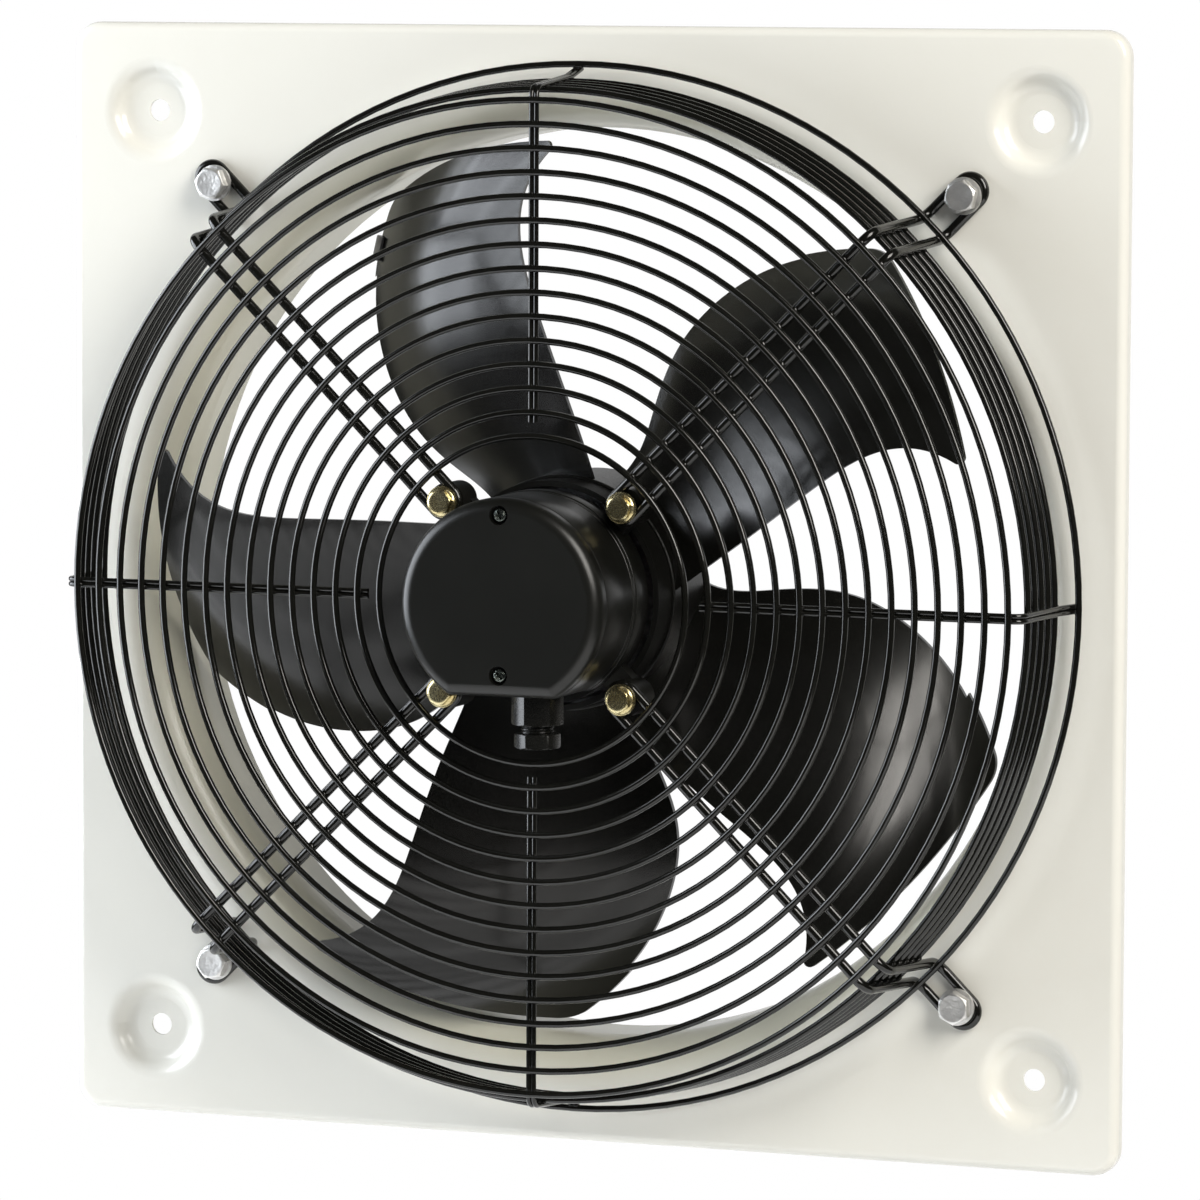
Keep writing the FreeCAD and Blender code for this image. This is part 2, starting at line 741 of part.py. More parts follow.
# The fixed inner motor: bearing tube, bearings, preload spring, stator core and winding
def fixed_motor():
    turned("bearing_tube", [
        (bearing_radius, tube_back),
        (tube_radius, tube_back),
        (tube_radius, flange_front),
        (bearing_radius, flange_front),
        (bearing_radius, front_bearing_back),
        (f"{bearing_radius} - tube_step", front_bearing_back),
        (f"{bearing_radius} - tube_step", rear_seat_front),
        (bearing_radius, rear_seat_front),
    ])
    bore = f"({shaft_radius} + running_gap)"
    for label, back, front in (
        ("front_bearing", front_bearing_back, front_bearing_front),
        ("rear_bearing", tube_back, rear_bearing_front),
    ):
        inner_race = f"({bore} + bearing_race)"
        outer_race = f"({bearing_radius} - bearing_race)"
        turned(label, [
            (bore, back),
            (inner_race, back),
            (inner_race, f"{back} + bearing_recess"),
            (outer_race, f"{back} + bearing_recess"),
            (outer_race, back),
            (bearing_radius, back),
            (bearing_radius, front),
            (outer_race, front),
            (outer_race, f"{front} - bearing_recess"),
            (inner_race, f"{front} - bearing_recess"),
            (inner_race, front),
            (bore, front),
        ])
    spring_outer = f"({bearing_radius} - spring_inset)"
    sleeve("bearing_spring", f"{spring_outer} - spring_width", spring_outer, rear_bearing_front, rear_seat_front)
    sleeve("stator_core", tube_radius, stator_radius, stator_back, stator_front)

    winding = new_body("stator_winding", several=True)
    section = sketch_on(winding, "winding_section", "XY_Plane")
    inner = f"({tube_radius} + winding_inset)"
    outer = f"({stator_radius} - winding_inset)"
    add_box(section, inner, f"-({stator_front} + winding_overhang)", outer, f"-{stator_front}")
    add_box(section, inner, f"-{stator_back}", outer, f"-({stator_back} - winding_overhang)")
    revolve(winding, section)


# The turning motor: cup-shaped rotor shell, rotor core, shaft and circlip
def turning_motor():
    can = turned("rotor_can", [
        (shaft_radius, rotor_back),
        (can_outer, rotor_back),
        (can_outer, rotor_front),
        (can_inner, rotor_front),
        (can_inner, rotor_floor),
        (shaft_radius, rotor_floor),
    ])
    rim = value(can_outer)
    round_edges(can, "rotor_rim", "rotor_round", lambda edge: (
        lies_at(edge, value(rotor_back)) and edge.BoundBox.XMax > rim - 1e-3
    ))
    core_front = f"({stator_front} + rotor_core_lap)"
    sleeve("rotor_core", core_inner, can_inner, f"{stator_back} - rotor_core_lap", core_front)
    collar = f"({shaft_radius} + shaft_collar_step)"
    groove = f"({shaft_radius} - circlip_groove)"
    turned("motor_shaft", [
        ("0", rotor_back),
        (shaft_radius, rotor_back),
        (shaft_radius, rotor_floor),
        (collar, rotor_floor),
        (collar, f"{tube_back} - end_gap"),
        (shaft_radius, f"{tube_back} - end_gap"),
        (shaft_radius, circlip_back),
        (groove, circlip_back),
        (groove, circlip_front),
        (shaft_radius, circlip_front),
        (shaft_radius, shaft_front),
        ("0", shaft_front),
    ])
    sleeve("shaft_circlip", groove, f"{groove} + circlip_width", circlip_back, circlip_front)


# The hub is a band pressed on the rotor shell
def impeller_hub():
    body = sleeve("impeller_hub", can_outer, hub_radius, hub_back, hub_front)
    rim = value(hub_radius)
    round_edges(body, "hub_rim", "hub_round", lambda edge: (
        lies_at(edge, value(hub_front)) and edge.BoundBox.XMax > rim - 1e-3
    ))


# A curve through (station, angle) knots between hub and tip, as a smooth function of the station
def knot_curve(knots):
    points = [Vector(station, value(angle), 0) for station, angle in knots]
    curve = Part.BSplineCurve()
    curve.interpolate(points, Parameters=[point.x for point in points])
    return lambda station: curve.value(station).y


# A blade lies on a surface of constant pitch with a bowed chord. Its sheet is trimmed by its outline
# seen along the fan axis: lead edge, tip circle, trail edge with a small tab, and the hub.
def blade_shape():
    hub = value(hub_radius)
    tip = value(tip_radius)
    middle = -value(f"({hub_front} + {hub_back}) / 2")
    slope = math.tan(math.radians(value("blade_pitch")))
    thickness = value("blade_sheet") / math.cos(math.radians(value("blade_pitch")))
    stations = (0, 0.08, 0.25, 0.5, 0.75, 1)
    places = ("foot", "root", "inner", "middle", "outer", "tip")
    lead = knot_curve(zip(stations, (f"lead_{place}" for place in places)))
    trail = knot_curve(zip(stations, (f"trail_{place}" for place in places)))
    # The sheet is drawn a little past its outline, on a square grid of steps
    steps = 10
    span_start, span_end = -0.06, 1.06
    chord_start, chord_end = -1.15, 1.15

    def surface_point(station, chord):
        radius = hub + (tip - hub) * station
        span = (trail(station) - lead(station)) / 2
        centre = (trail(station) + lead(station)) / 2
        angle = math.radians(centre + span * chord)
        depth = slope * radius * math.radians(span * chord) - value("blade_camber") * (1 - chord ** 2)
        return Vector(radius * math.cos(angle), middle + depth - thickness / 2, radius * math.sin(angle))

    rows = [span_start + (span_end - span_start) * step / steps for step in range(steps + 1)]
    columns = [chord_start + (chord_end - chord_start) * step / steps for step in range(steps + 1)]
    surface = Part.BSplineSurface()
    surface.interpolate([[surface_point(station, chord) for chord in columns] for station in rows])
    sheet_solid = surface.toShape().extrude(Vector(0, thickness, 0))

    back = middle - tip
    depth = Vector(0, 2 * tip, 0)

    def outline_point(station, angle):
        radius = hub + (tip - hub) * station
        return Vector(radius * math.cos(math.radians(angle)), back, radius * math.sin(math.radians(angle)))

    def spline(points):
        curve = Part.BSplineCurve()
        curve.interpolate(points)
        return curve.toShape()

    def circle_arc(station, first, last):
        places = [outline_point(station, angle) for angle in (first, (first + last) / 2, last)]
        return Part.Arc(*places).toShape()

    tab_start = value("tab_start")
    tab = value("blade_tab")
    lead_points = [outline_point(station, lead(station)) for station in stations]
    shares = (0, 0.1, 0.25, 0.5, 0.75, 0.9, 1)
    inner_trail = [outline_point(tab_start * share, trail(tab_start * share)) for share in shares]
    outer_trail = [outline_point(station, trail(station) + tab) for station in (tab_start, (tab_start + 1) / 2, 1)]
    outline = Part.Wire([
        spline(lead_points),
        circle_arc(1, lead(1), trail(1) + tab),
        spline(outer_trail[::-1]),
        Part.LineSegment(outer_trail[0], inner_trail[-1]).toShape(),
        spline(inner_trail[::-1]),
        circle_arc(0, trail(0), lead(0)),
    ])
    prism = Part.Face(outline).extrude(depth)
    for corner, radius in ((outer_trail[-1], "blade_tip_round"), (lead_points[-1], "blade_hook_round")):
        upright = [
            edge for edge in prism.Edges
            if runs_back(edge) and math.hypot(edge.BoundBox.XMin - corner.x, edge.BoundBox.ZMin - corner.z) < 1e-3
        ]
        prism = prism.makeFillet(value(radius), upright)
    return sheet_solid.common(prism).Solids[0]


def impeller():
    impeller_hub()
    blade = blade_shape()
    blade_count = 5
    for number in range(blade_count):
        angle = value("blade_turn") - number * 360 / blade_count
        coded_node(f"blade_{number + 1}", blade.copy(), around(angle))


# Terminal box: a deep flat-bottomed cup on the motor flange, closed by a gasket and a shallow cover
def terminal_box():
    body = new_body("terminal_box")
    cup = sketch_on(body, "box_cup", "XZ_Plane", box_back)
    add_box_outline(cup, "0")
    pad(body, cup, "box_depth")
    collar = sketch_on(body, "box_collar", "XZ_Plane", box_back)
    add_box_outline(collar, "(-collar_step)")
    pad(body, collar, "collar_depth")
    round_edges(body, "box_corners", "box_corner", runs_back)
    hollow = sketch_on(body, "box_hollow", "XZ_Plane", box_front)
    add_box_outline(hollow, "box_wall")
    pocket(body, hollow, "box_depth - box_floor")
    post_length = f"{box_front} - {posts_back}"
    wall_middle = "(box_radius + box_rise - box_wall / 2)"
    floor_middle = "(box_flat - box_wall / 2)"
    for name, post, web in (
        ("upper", "upper_post", ("upper_post", wall_middle)),
        ("lower", "-lower_post", (f"-{floor_middle}", "-lower_post")),
    ):
        web_sketch = sketch_on(body, f"{name}_web", "XZ_Plane", posts_back)
        add_box(web_sketch, "-post_web / 2", web[0], "post_web / 2", web[1])
        pad(body, web_sketch, post_length)
        tower = sketch_on(body, f"{name}_post", "XZ_Plane", posts_back)
        add_circle(tower, "0", post, "post_dia")
        pad(body, tower, post_length)
    threads = sketch_on(body, "post_threads", "XZ_Plane", box_front)
    for post in ("upper_post", "-lower_post"):
        add_circle(threads, "0", post, "cover_screw_dia + 2 * thread_gap")
    pocket(body, threads, "cover_screw_reach + end_gap")
    bores = sketch_on(body, "floor_holes", "XZ_Plane", box_inside)
    add_circle(bores, "lead_hole_right", "-lead_hole_down", "lead_hole_dia")
    for side in ("", "-"):
        add_circle(bores, f"{side}box_screw_place", "box_rise", "box_screw_dia + 2 * bolt_hole_gap")
    pocket(body, bores, "box_floor")
    gland_hole = sketch_on(body, "gland_hole", "XY_Plane", "-box_flat")
    add_circle(gland_hole, "gland_right", f"-{gland_front}", "gland_thread + 2 * bolt_hole_gap")
    pocket(body, gland_hole, "box_wall", ahead=True)


def terminal_cover():
    gasket = new_body("terminal_gasket")
    ring = sketch_on(gasket, "gasket_ring", "XZ_Plane", box_front)
    add_box_outline(ring, "gasket_inset")
    add_box_outline(ring, "box_wall")
    pad(gasket, ring, "gasket_thick")

    body = new_body("terminal_cover")
    lid = sketch_on(body, "cover_lid", "XZ_Plane", cover_back)
    add_box_outline(lid, "0")
    pad(body, lid, "cover_depth")
    round_edges(body, "cover_corners", "box_corner", runs_back)
    round_edges(body, "cover_edge", "cover_round", lambda edge: lies_at(edge, value(cover_face)))
    hollow = sketch_on(body, "cover_hollow", "XZ_Plane", cover_back)
    add_box_outline(hollow, "(box_wall + cover_front)")
    pocket(body, hollow, "cover_depth - cover_front", ahead=True)
    bosses = sketch_on(body, "cover_bosses", "XZ_Plane", cover_back)
    holes = sketch_on(body, "cover_holes", "XZ_Plane", cover_face)
    recesses = sketch_on(body, "cover_recesses", "XZ_Plane", cover_face)
    for post in ("upper_post", "-lower_post"):
        add_circle(bosses, "0", post, "cover_boss_dia")
        add_circle(holes, "0", post, "cover_screw_dia + 2 * bolt_hole_gap")
        add_circle(recesses, "0", post, "cover_recess_dia")
    pad(body, bosses, "cover_depth - cover_front")
    pocket(body, holes, "cover_depth")
    pocket(body, recesses, "cover_recess")


# Pan-head screws: two through the cover with cross recesses, and two that hold the box to the flange
def box_fasteners():
    cover_screws = new_body("cover_screws", several=True)
    shanks = sketch_on(cover_screws, "cover_shanks", "XZ_Plane", f"{box_front} - cover_screw_reach")
    heads = sketch_on(cover_screws, "cover_heads", "XZ_Plane", cover_seat)
    crosses = [
        sketch_on(cover_screws, name, "XZ_Plane", f"{cover_seat} + cover_screw_head")
        for name in ("cross_upright", "cross_level")
    ]
    for post in ("upper_post", "-lower_post"):
        add_circle(shanks, "0", post, "cover_screw_dia")
        add_circle(heads, "0", post, "cover_screw_head_dia")
        for sketch, wide, tall in (
            (crosses[0], "cross_width / 2", "cross_length / 2"),
            (crosses[1], "cross_length / 2", "cross_width / 2"),
        ):
            add_box(sketch, f"-{wide}", f"{post} - {tall}", wide, f"{post} + {tall}")
    pad(cover_screws, shanks, f"{cover_seat} - {box_front} + cover_screw_reach")
    pad(cover_screws, heads, "cover_screw_head")
    for sketch in crosses:
        pocket(cover_screws, sketch, "cross_depth")

    box_screws = new_body("box_screws", several=True)
    shanks = sketch_on(box_screws, "box_shanks", "XZ_Plane", f"{flange_front} - box_screw_reach")
    heads = sketch_on(box_screws, "box_heads", "XZ_Plane", box_inside)
    for side in ("", "-"):
        add_circle(shanks, f"{side}box_screw_place", "box_rise", "box_screw_dia")
        add_circle(heads, f"{side}box_screw_place", "box_rise", "box_screw_head_dia")
    pad(box_screws, shanks, "box_floor + box_screw_reach")
    pad(box_screws, heads, "box_screw_head")


# What the terminal box holds: a slotted terminal block and the run capacitor
def box_contents():
    block = new_body("terminal_block")
    base = sketch_on(block, "block_base", "XZ_Plane", box_inside)
    top = "(-block_drop + block_height)"
    add_box(base, "-block_width / 2", "-block_drop", "block_width / 2", top)
    pad(block, base, "block_depth")
    slots = sketch_on(block, "block_slots", "XZ_Plane", f"{box_inside} + block_depth")
    for place in ("-block_width / 4", "0", "block_width / 4"):
        middle = "(-block_drop + block_height / 2)"
        add_circle(slots, place, middle, "block_slot")
    pocket(block, slots, "block_depth / 2")

    capacitor = doc.addObject("Part::Cylinder", "run_capacitor")
    bind(capacitor, "Radius", "capacitor_dia / 2")
    bind(capacitor, "Height", "capacitor_length")
    capacitor.Placement.Rotation = Rotation(Vector(0, 1, 0), 90)
    bind(capacitor, "Placement.Base.x", "-capacitor_length / 2")
    bind(capacitor, "Placement.Base.y", f"-({box_inside} + capacitor_dia / 2)")
    bind(capacitor, "Placement.Base.z", "capacitor_rise")
    nodes["run_capacitor"] = capacitor


# Cable gland under the box, drawn about its own upright axis with the box's flat at zero
def gland_body(label):
    body = new_body(label)
    bind(body, "Placement.Base.x", "gland_right")
    bind(body, "Placement.Base.y", f"-{gland_front}")
    bind(body, "Placement.Base.z", "-box_flat")
    return body


def cable_gland():
    body = gland_body("gland_body")
    hexagon = sketch_on(body, "gland_hexagon", "XY_Plane", "-gland_body_length", turn=sizes["gland_turn"])
    add_hexagon(hexagon, "0", "0", "gland_flats")
    pad(body, hexagon, "gland_body_length")
    thread = sketch_on(body, "gland_upper_thread", "XY_Plane", "0")
    add_circle(thread, "0", "0", "gland_thread")
    pad(body, thread, "gland_thread_length")
    neck = sketch_on(body, "gland_lower_thread", "XY_Plane", f"-{gland_neck_end}")
    add_circle(neck, "0", "0", "gland_neck_dia")
    pad(body, neck, "gland_neck + gland_neck_lap")
    bore = sketch_on(body, "gland_through", "XY_Plane", "gland_thread_length")
    add_circle(bore, "0", "0", "gland_bore")
    pocket(body, bore, f"gland_thread_length + {gland_neck_end}")
    seat = sketch_on(body, "gland_seat", "XY_Plane", f"-{gland_neck_end}")
    add_circle(seat, "0", "0", "gland_seat_dia")
    pocket(body, seat, "gland_seat_depth", ahead=True)

    seal = gland_body("gland_seal")
    ring = sketch_on(seal, "seal_ring", "XY_Plane", f"-{gland_neck_end}")
    add_circle(ring, "0", "0", "gland_seat_dia")
    add_circle(ring, "0", "0", "gland_cord_dia")
    pad(seal, ring, "gland_seat_depth")

    nut = gland_body("gland_nut")
    nut_top = "(gland_body_length + gland_neck)"
    cap = sketch_on(nut, "nut_cap", "XY_Plane", f"-{nut_top} - gland_nut_length")
    add_hexagon(cap, "0", "0", "gland_nut_flats")
    add_circle(cap, "0", "0", "gland_bore")
    pad(nut, cap, "gland_nut_length")
    thread = sketch_on(nut, "nut_thread", "XY_Plane", f"-{nut_top}")
    add_circle(thread, "0", "0", "gland_neck_dia + 2 * thread_gap")
    pocket(nut, thread, "gland_neck_lap")

    locknut = gland_body("gland_locknut")
    ring = sketch_on(locknut, "locknut_ring", "XY_Plane", "box_wall")
    add_hexagon(ring, "0", "0", "locknut_flats")
    add_circle(ring, "0", "0", "gland_thread + 2 * thread_gap")
    pad(locknut, ring, "locknut_height")


wall_plate()
guard()
plate_fasteners()
motor_fasteners()
motor_flange()
fixed_motor()
turning_motor()
impeller()
terminal_box()
terminal_cover()
box_fasteners()
box_contents()
cable_gland()

# Nothing is written unless every object and every piece came out sound
doc.recompute()
for item in doc.Objects:
    if "Invalid" in item.State or "Error" in item.State:
        raise RuntimeError(f"{item.Name} failed: {item.State}")
os.makedirs("parts", exist_ok=True)
for label, item in nodes.items():
    if item.Shape.isNull() or not item.Shape.isValid():
        raise RuntimeError(f"{label} has no sound shape")
for label, item in nodes.items():
    item.Shape.exportStep(f"parts/{label}.step")
    print(f"{label}: {len(item.Shape.Solids)} solids, {item.Shape.Volume / 1000:.2f} cm3")
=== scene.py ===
import math
import random

import bmesh
import bpy
from mathutils import Matrix, Vector


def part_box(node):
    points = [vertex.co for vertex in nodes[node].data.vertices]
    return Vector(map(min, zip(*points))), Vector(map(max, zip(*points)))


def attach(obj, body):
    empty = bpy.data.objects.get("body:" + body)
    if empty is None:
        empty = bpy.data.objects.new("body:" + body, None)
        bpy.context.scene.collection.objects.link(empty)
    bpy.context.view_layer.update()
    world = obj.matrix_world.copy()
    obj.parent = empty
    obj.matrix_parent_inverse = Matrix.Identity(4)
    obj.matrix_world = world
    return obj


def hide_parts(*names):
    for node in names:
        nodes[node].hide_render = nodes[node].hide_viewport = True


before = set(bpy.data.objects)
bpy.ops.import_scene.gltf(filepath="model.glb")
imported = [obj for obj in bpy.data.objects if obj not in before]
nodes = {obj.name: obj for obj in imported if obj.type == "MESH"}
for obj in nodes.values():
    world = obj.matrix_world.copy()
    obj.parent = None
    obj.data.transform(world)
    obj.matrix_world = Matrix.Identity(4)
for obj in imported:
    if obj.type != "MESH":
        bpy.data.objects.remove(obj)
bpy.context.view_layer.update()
mm = 0.001
print("fan frame loaded:", len(nodes), "nodes")


# finishes

mixSockets = dict(factor=0, first=6, second=7, result=2)
finishBase = dict(cloudDetail=3.0, cloudSpan=(0.32, 0.68), grainDetail=2.0, roughSpan=(0.3, 0.7),
                  peelDetail=1.0, metallic=0.0, ior=1.5, specular=0.5)


def startFinish(name):
    finish = bpy.data.materials.new(name)
    finish.use_nodes = True
    tree = finish.node_tree
    place = tree.nodes.new("ShaderNodeTexCoord")
    return finish, tree, tree.nodes["Principled BSDF"], place.outputs["Object"]


def addNoise(tree, coords, scale, detail):
    noise = tree.nodes.new("ShaderNodeTexNoise")
    noise.inputs["Scale"].default_value = scale
    noise.inputs["Detail"].default_value = detail
    tree.links.new(coords, noise.inputs["Vector"])
    return noise.outputs["Fac"]


def addRamp(tree, factor, span, dark, light):
    ramp = tree.nodes.new("ShaderNodeValToRGB")
    for point, at, shade in zip(ramp.color_ramp.elements, span, (dark, light)):
        point.position = at
        point.color = (*shade, 1.0)
    tree.links.new(factor, ramp.inputs["Fac"])
    return ramp.outputs["Color"]


def addRange(tree, factor, span, values):
    fit = tree.nodes.new("ShaderNodeMapRange")
    for socket, value in zip(("From Min", "From Max", "To Min", "To Max"), (*span, *values)):
        fit.inputs[socket].default_value = value
    tree.links.new(factor, fit.inputs["Value"])
    return fit.outputs["Result"]


def addLength(tree, vector):
    length = tree.nodes.new("ShaderNodeVectorMath")
    length.operation = "LENGTH"
    tree.links.new(vector, length.inputs[0])
    return length.outputs["Value"]


def addBump(tree, shader, layers):
    normal = None
    for height, strength, depth in layers:
        bump = tree.nodes.new("ShaderNodeBump")
        bump.inputs["Strength"].default_value = strength
        bump.inputs["Distance"].default_value = depth
        tree.links.new(height, bump.inputs["Height"])
        if normal:
            tree.links.new(normal, bump.inputs["Normal"])
        normal = bump.outputs["Normal"]
    tree.links.new(normal, shader.inputs["Normal"])


# painted shade: the paint is darkened and warmed inside the bell mouth, by distance from the fan axis
def addPaintedThroatShade(tree, coords, shade, s):
    flat = tree.nodes.new("ShaderNodeVectorMath")
    flat.operation = "MULTIPLY"
    flat.inputs[1].default_value = (1, 0, 1)
    tree.links.new(coords, flat.inputs[0])
    throatShadeMask = addRange(tree, addLength(tree, flat.outputs["Vector"]), (s["full"], s["none"]), (1.0, 0.0))
    tint = tree.nodes.new("ShaderNodeMix")
    tint.data_type, tint.blend_type = "RGBA", "MULTIPLY"
    tree.links.new(throatShadeMask, tint.inputs[mixSockets["factor"]])
    tree.links.new(shade, tint.inputs[mixSockets["first"]])
    tint.inputs[mixSockets["second"]].default_value = (*s["tint"], 1)
    return tint.outputs[mixSockets["result"]]


def paintFinish(name, own):
    s = {**finishBase, **own}
    finish, tree, shader, coords = startFinish(name)
    cloud = addNoise(tree, coords, s["cloudScale"], s["cloudDetail"])
    shade = addRamp(tree, cloud, s["cloudSpan"], s["dark"], s["light"])
    # inside: painted shade, darker and warmer paint inside the bell mouth
    if "inside" in s:
        shade = addPaintedThroatShade(tree, coords, shade, s["inside"])
    tree.links.new(shade, shader.inputs["Base Color"])
    grain = addNoise(tree, coords, s["grainScale"], s["grainDetail"])
    tree.links.new(addRange(tree, grain, s["roughSpan"], s["rough"]), shader.inputs["Roughness"])
    layers = [(grain, s["grainBump"], s["grainDepth"])]
    if "peelScale" in s:
        peel = addNoise(tree, coords, s["peelScale"], s["peelDetail"])
        layers.append((peel, s["peelBump"], s["peelDepth"]))
    addBump(tree, shader, layers)
    shader.inputs["Metallic"].default_value = s["metallic"]
    shader.inputs["IOR"].default_value = s["ior"]
    shader.inputs["Specular IOR Level"].default_value = s["specular"]
    return finish


finishLooks = {
    "plate_paint": dict(dark=(0.780, 0.772, 0.712), light=(0.800, 0.794, 0.738), cloudScale=7.0,
                        grainScale=1900.0, grainBump=0.5, grainDepth=0.000004, rough=(0.15, 0.21),
                        peelScale=420.0, peelBump=0.5, peelDepth=0.000014,
                        # inside: painted shade, the paint darkened and warmed inside the bell mouth
                        inside=dict(full=0.214, none=0.228, tint=(0.88, 0.87, 0.78))),
    "guard_paint": dict(dark=(0.0036, 0.0036, 0.0028), light=(0.0058, 0.0058, 0.0046), cloudScale=40.0,
                        grainScale=1100.0, grainBump=0.5, grainDepth=0.000006, rough=(0.11, 0.18)),
    "zinc_steel": dict(dark=(0.56, 0.555, 0.54), light=(0.74, 0.735, 0.72), cloudScale=170.0,
                       grainScale=1400.0, grainBump=0.5, grainDepth=0.00002, rough=(0.41, 0.53),
                       peelScale=520.0, peelBump=1.0, peelDepth=0.00022, metallic=1.0),
    "yellow_zinc": dict(dark=(0.46, 0.38, 0.19), light=(0.64, 0.57, 0.34), cloudScale=150.0,
                        grainScale=1600.0, grainBump=0.5, grainDepth=0.000008, rough=(0.22, 0.31),
                        metallic=1.0),
    "motor_casting": dict(dark=(0.0040, 0.0040, 0.0032), light=(0.0066, 0.0066, 0.0054), cloudScale=60.0,
                          grainScale=900.0, grainBump=0.6, grainDepth=0.00003, rough=(0.34, 0.44),
                          specular=0.4),
    "rotor_paint": dict(dark=(0.0040, 0.0040, 0.0032), light=(0.0066, 0.0066, 0.0054), cloudScale=30.0,
                        grainScale=1400.0, grainBump=0.5, grainDepth=0.000012, rough=(0.55, 0.65),
                        specular=0.2),
    "blade_paint": dict(dark=(0.0040, 0.0040, 0.0032), light=(0.0062, 0.0062, 0.0050), cloudScale=14.0,
                        grainScale=1500.0, grainBump=0.5, grainDepth=0.000002, rough=(0.19, 0.24)),
    "machined_steel": dict(dark=(0.46, 0.46, 0.46), light=(0.60, 0.60, 0.59), cloudScale=120.0,
                           grainScale=2400.0, grainBump=0.4, grainDepth=0.00001, rough=(0.24, 0.38),
                           metallic=1.0),
    "bearing_steel": dict(dark=(0.54, 0.55, 0.56), light=(0.68, 0.68, 0.68), cloudScale=140.0,
                          grainScale=2600.0, grainBump=0.4, grainDepth=0.000005, rough=(0.14, 0.24),
                          metallic=1.0),
    "spring_steel": dict(dark=(0.12, 0.12, 0.13), light=(0.22, 0.22, 0.23), cloudScale=160.0,
                         grainScale=1800.0, grainBump=0.4, grainDepth=0.00001, rough=(0.28, 0.42),
                         metallic=1.0),
    "lamination": dict(dark=(0.16, 0.16, 0.17), light=(0.30, 0.30, 0.31), cloudScale=180.0,
                       grainScale=2200.0, grainBump=0.6, grainDepth=0.00003, rough=(0.40, 0.55),
                       metallic=1.0),
    "winding": dict(dark=(0.36, 0.12, 0.04), light=(0.56, 0.22, 0.08), cloudScale=300.0,
                    grainScale=900.0, grainBump=0.8, grainDepth=0.0002, rough=(0.28, 0.42)),
    "box_plastic": dict(dark=(0.0040, 0.0041, 0.0032), light=(0.0058, 0.0059, 0.0048), cloudScale=25.0,
                        grainScale=2600.0, grainBump=0.5, grainDepth=0.000004, rough=(0.29, 0.36),
                        specular=0.42),
    "seal_rubber": dict(dark=(0.004, 0.004, 0.004), light=(0.007, 0.007, 0.007), cloudScale=80.0,
                        grainScale=900.0, grainBump=0.5, grainDepth=0.00003, rough=(0.55, 0.70)),
    "screw_steel": dict(dark=(0.10, 0.115, 0.105), light=(0.20, 0.22, 0.20), cloudScale=260.0,
                        grainScale=1600.0, grainBump=0.5, grainDepth=0.00001, rough=(0.20, 0.32),
                        metallic=1.0),
    "block_plastic": dict(dark=(0.62, 0.60, 0.54), light=(0.70, 0.68, 0.62), cloudScale=50.0,
                          grainScale=1200.0, grainBump=0.5, grainDepth=0.00001, rough=(0.35, 0.48)),
    "capacitor_can": dict(dark=(0.62, 0.63, 0.64), light=(0.74, 0.74, 0.74), cloudScale=70.0,
                          grainScale=1500.0, grainBump=0.5, grainDepth=0.00001, rough=(0.26, 0.38)),
    "gland_plastic": dict(dark=(0.0045, 0.0045, 0.0038), light=(0.0070, 0.0070, 0.0060), cloudScale=60.0,
                          grainScale=1900.0, grainBump=0.5, grainDepth=0.000006, rough=(0.22, 0.30),
                          specular=0.38),
}
finishes = {slot: paintFinish(slot + "_finish", look) for slot, look in finishLooks.items()}
for node in nodes.values():
    for slotIndex, material in enumerate(node.data.materials):
        node.material_slots[slotIndex].material = finishes[material.name.split(".")[0]]
print("finishes on:", len(finishes))


# shape helpers: every piece is lofted from closed rings of points, in millimetres

threadShape = dict(flank=2.6, crest=0.3)
crownReach = 0.53
chamferSlope = math.tan(math.radians(30))


def ringOf(radiusAt, height, count):
    ring = []
    for step in range(count):
        a = 2 * math.pi * step / count
        r = radiusAt(a) if callable(radiusAt) else radiusAt
        ring.append(Vector((r * math.cos(a), r * math.sin(a), height)))
    return ring


def turnedRings(profile, count):
    return [ringOf(radius, height, count) for radius, height in profile]


def hexCorner(flats):
    return flats / math.sqrt(3)


# a hexagon cut by a circle of radius limit, its sides bowed out by the share crown
def hexRing(flats, limit, height, count, crown=0.0):
    def radiusAt(a):
        side = flats / 2 / math.cos((a % (math.pi / 3)) - math.pi / 6)
        return min(side * (1 - crown) + crown * flats * crownReach, limit)
    return ringOf(radiusAt, height, count)


def chamferLevels(flats, limit, steps):
    drop = (hexCorner(flats) - limit) * chamferSlope
    return [(limit + drop * step / steps / chamferSlope, drop * step / steps) for step in range(steps + 1)]


def threadRing(s, radius, height):
    def radiusAt(a):
        turn = (height / s["pitch"] - a / (2 * math.pi)) % 1.0
        valley = abs(turn - 0.5) * threadShape["flank"] - threadShape["crest"]
        return radius - s["threadDepth"] * min(1.0, max(0.0, valley))
    return ringOf(radiusAt, height, s["count"])


def threadRings(s, radius, start, end):
    rings, level = [], start
    while level < end:
        rings.append(threadRing(s, radius, level))
        level += s["pitch"] / s["perPitch"]
    return rings


def crossRing(half, arm, height, count):
    def radiusAt(a):
        c, s = abs(math.cos(a)), abs(math.sin(a))
        big, small = max(c, s), min(c, s)
        return arm / big if small * arm <= half * big else half / small
    return ringOf(radiusAt, height, count)


def quarterTurn(first, steps):
    return [math.pi / 2 * step / steps for step in range(first, steps + 1)]


def joinRows(bm, rows):
    for row, nextRow in zip(rows, rows[1:]):
        for step in range(len(row)):
            after = (step + 1) % len(row)
            bm.faces.new((row[step], row[after], nextRow[after], nextRow[step]))


def capRow(bm, row, tip):
    for step in range(len(row)):
        bm.faces.new((row[step], row[(step + 1) % len(row)], tip))


def addRows(bm, rings, place):
    rows = [[bm.verts.new(place @ point) for point in ring] for ring in rings]
    joinRows(bm, rows)
    return rows


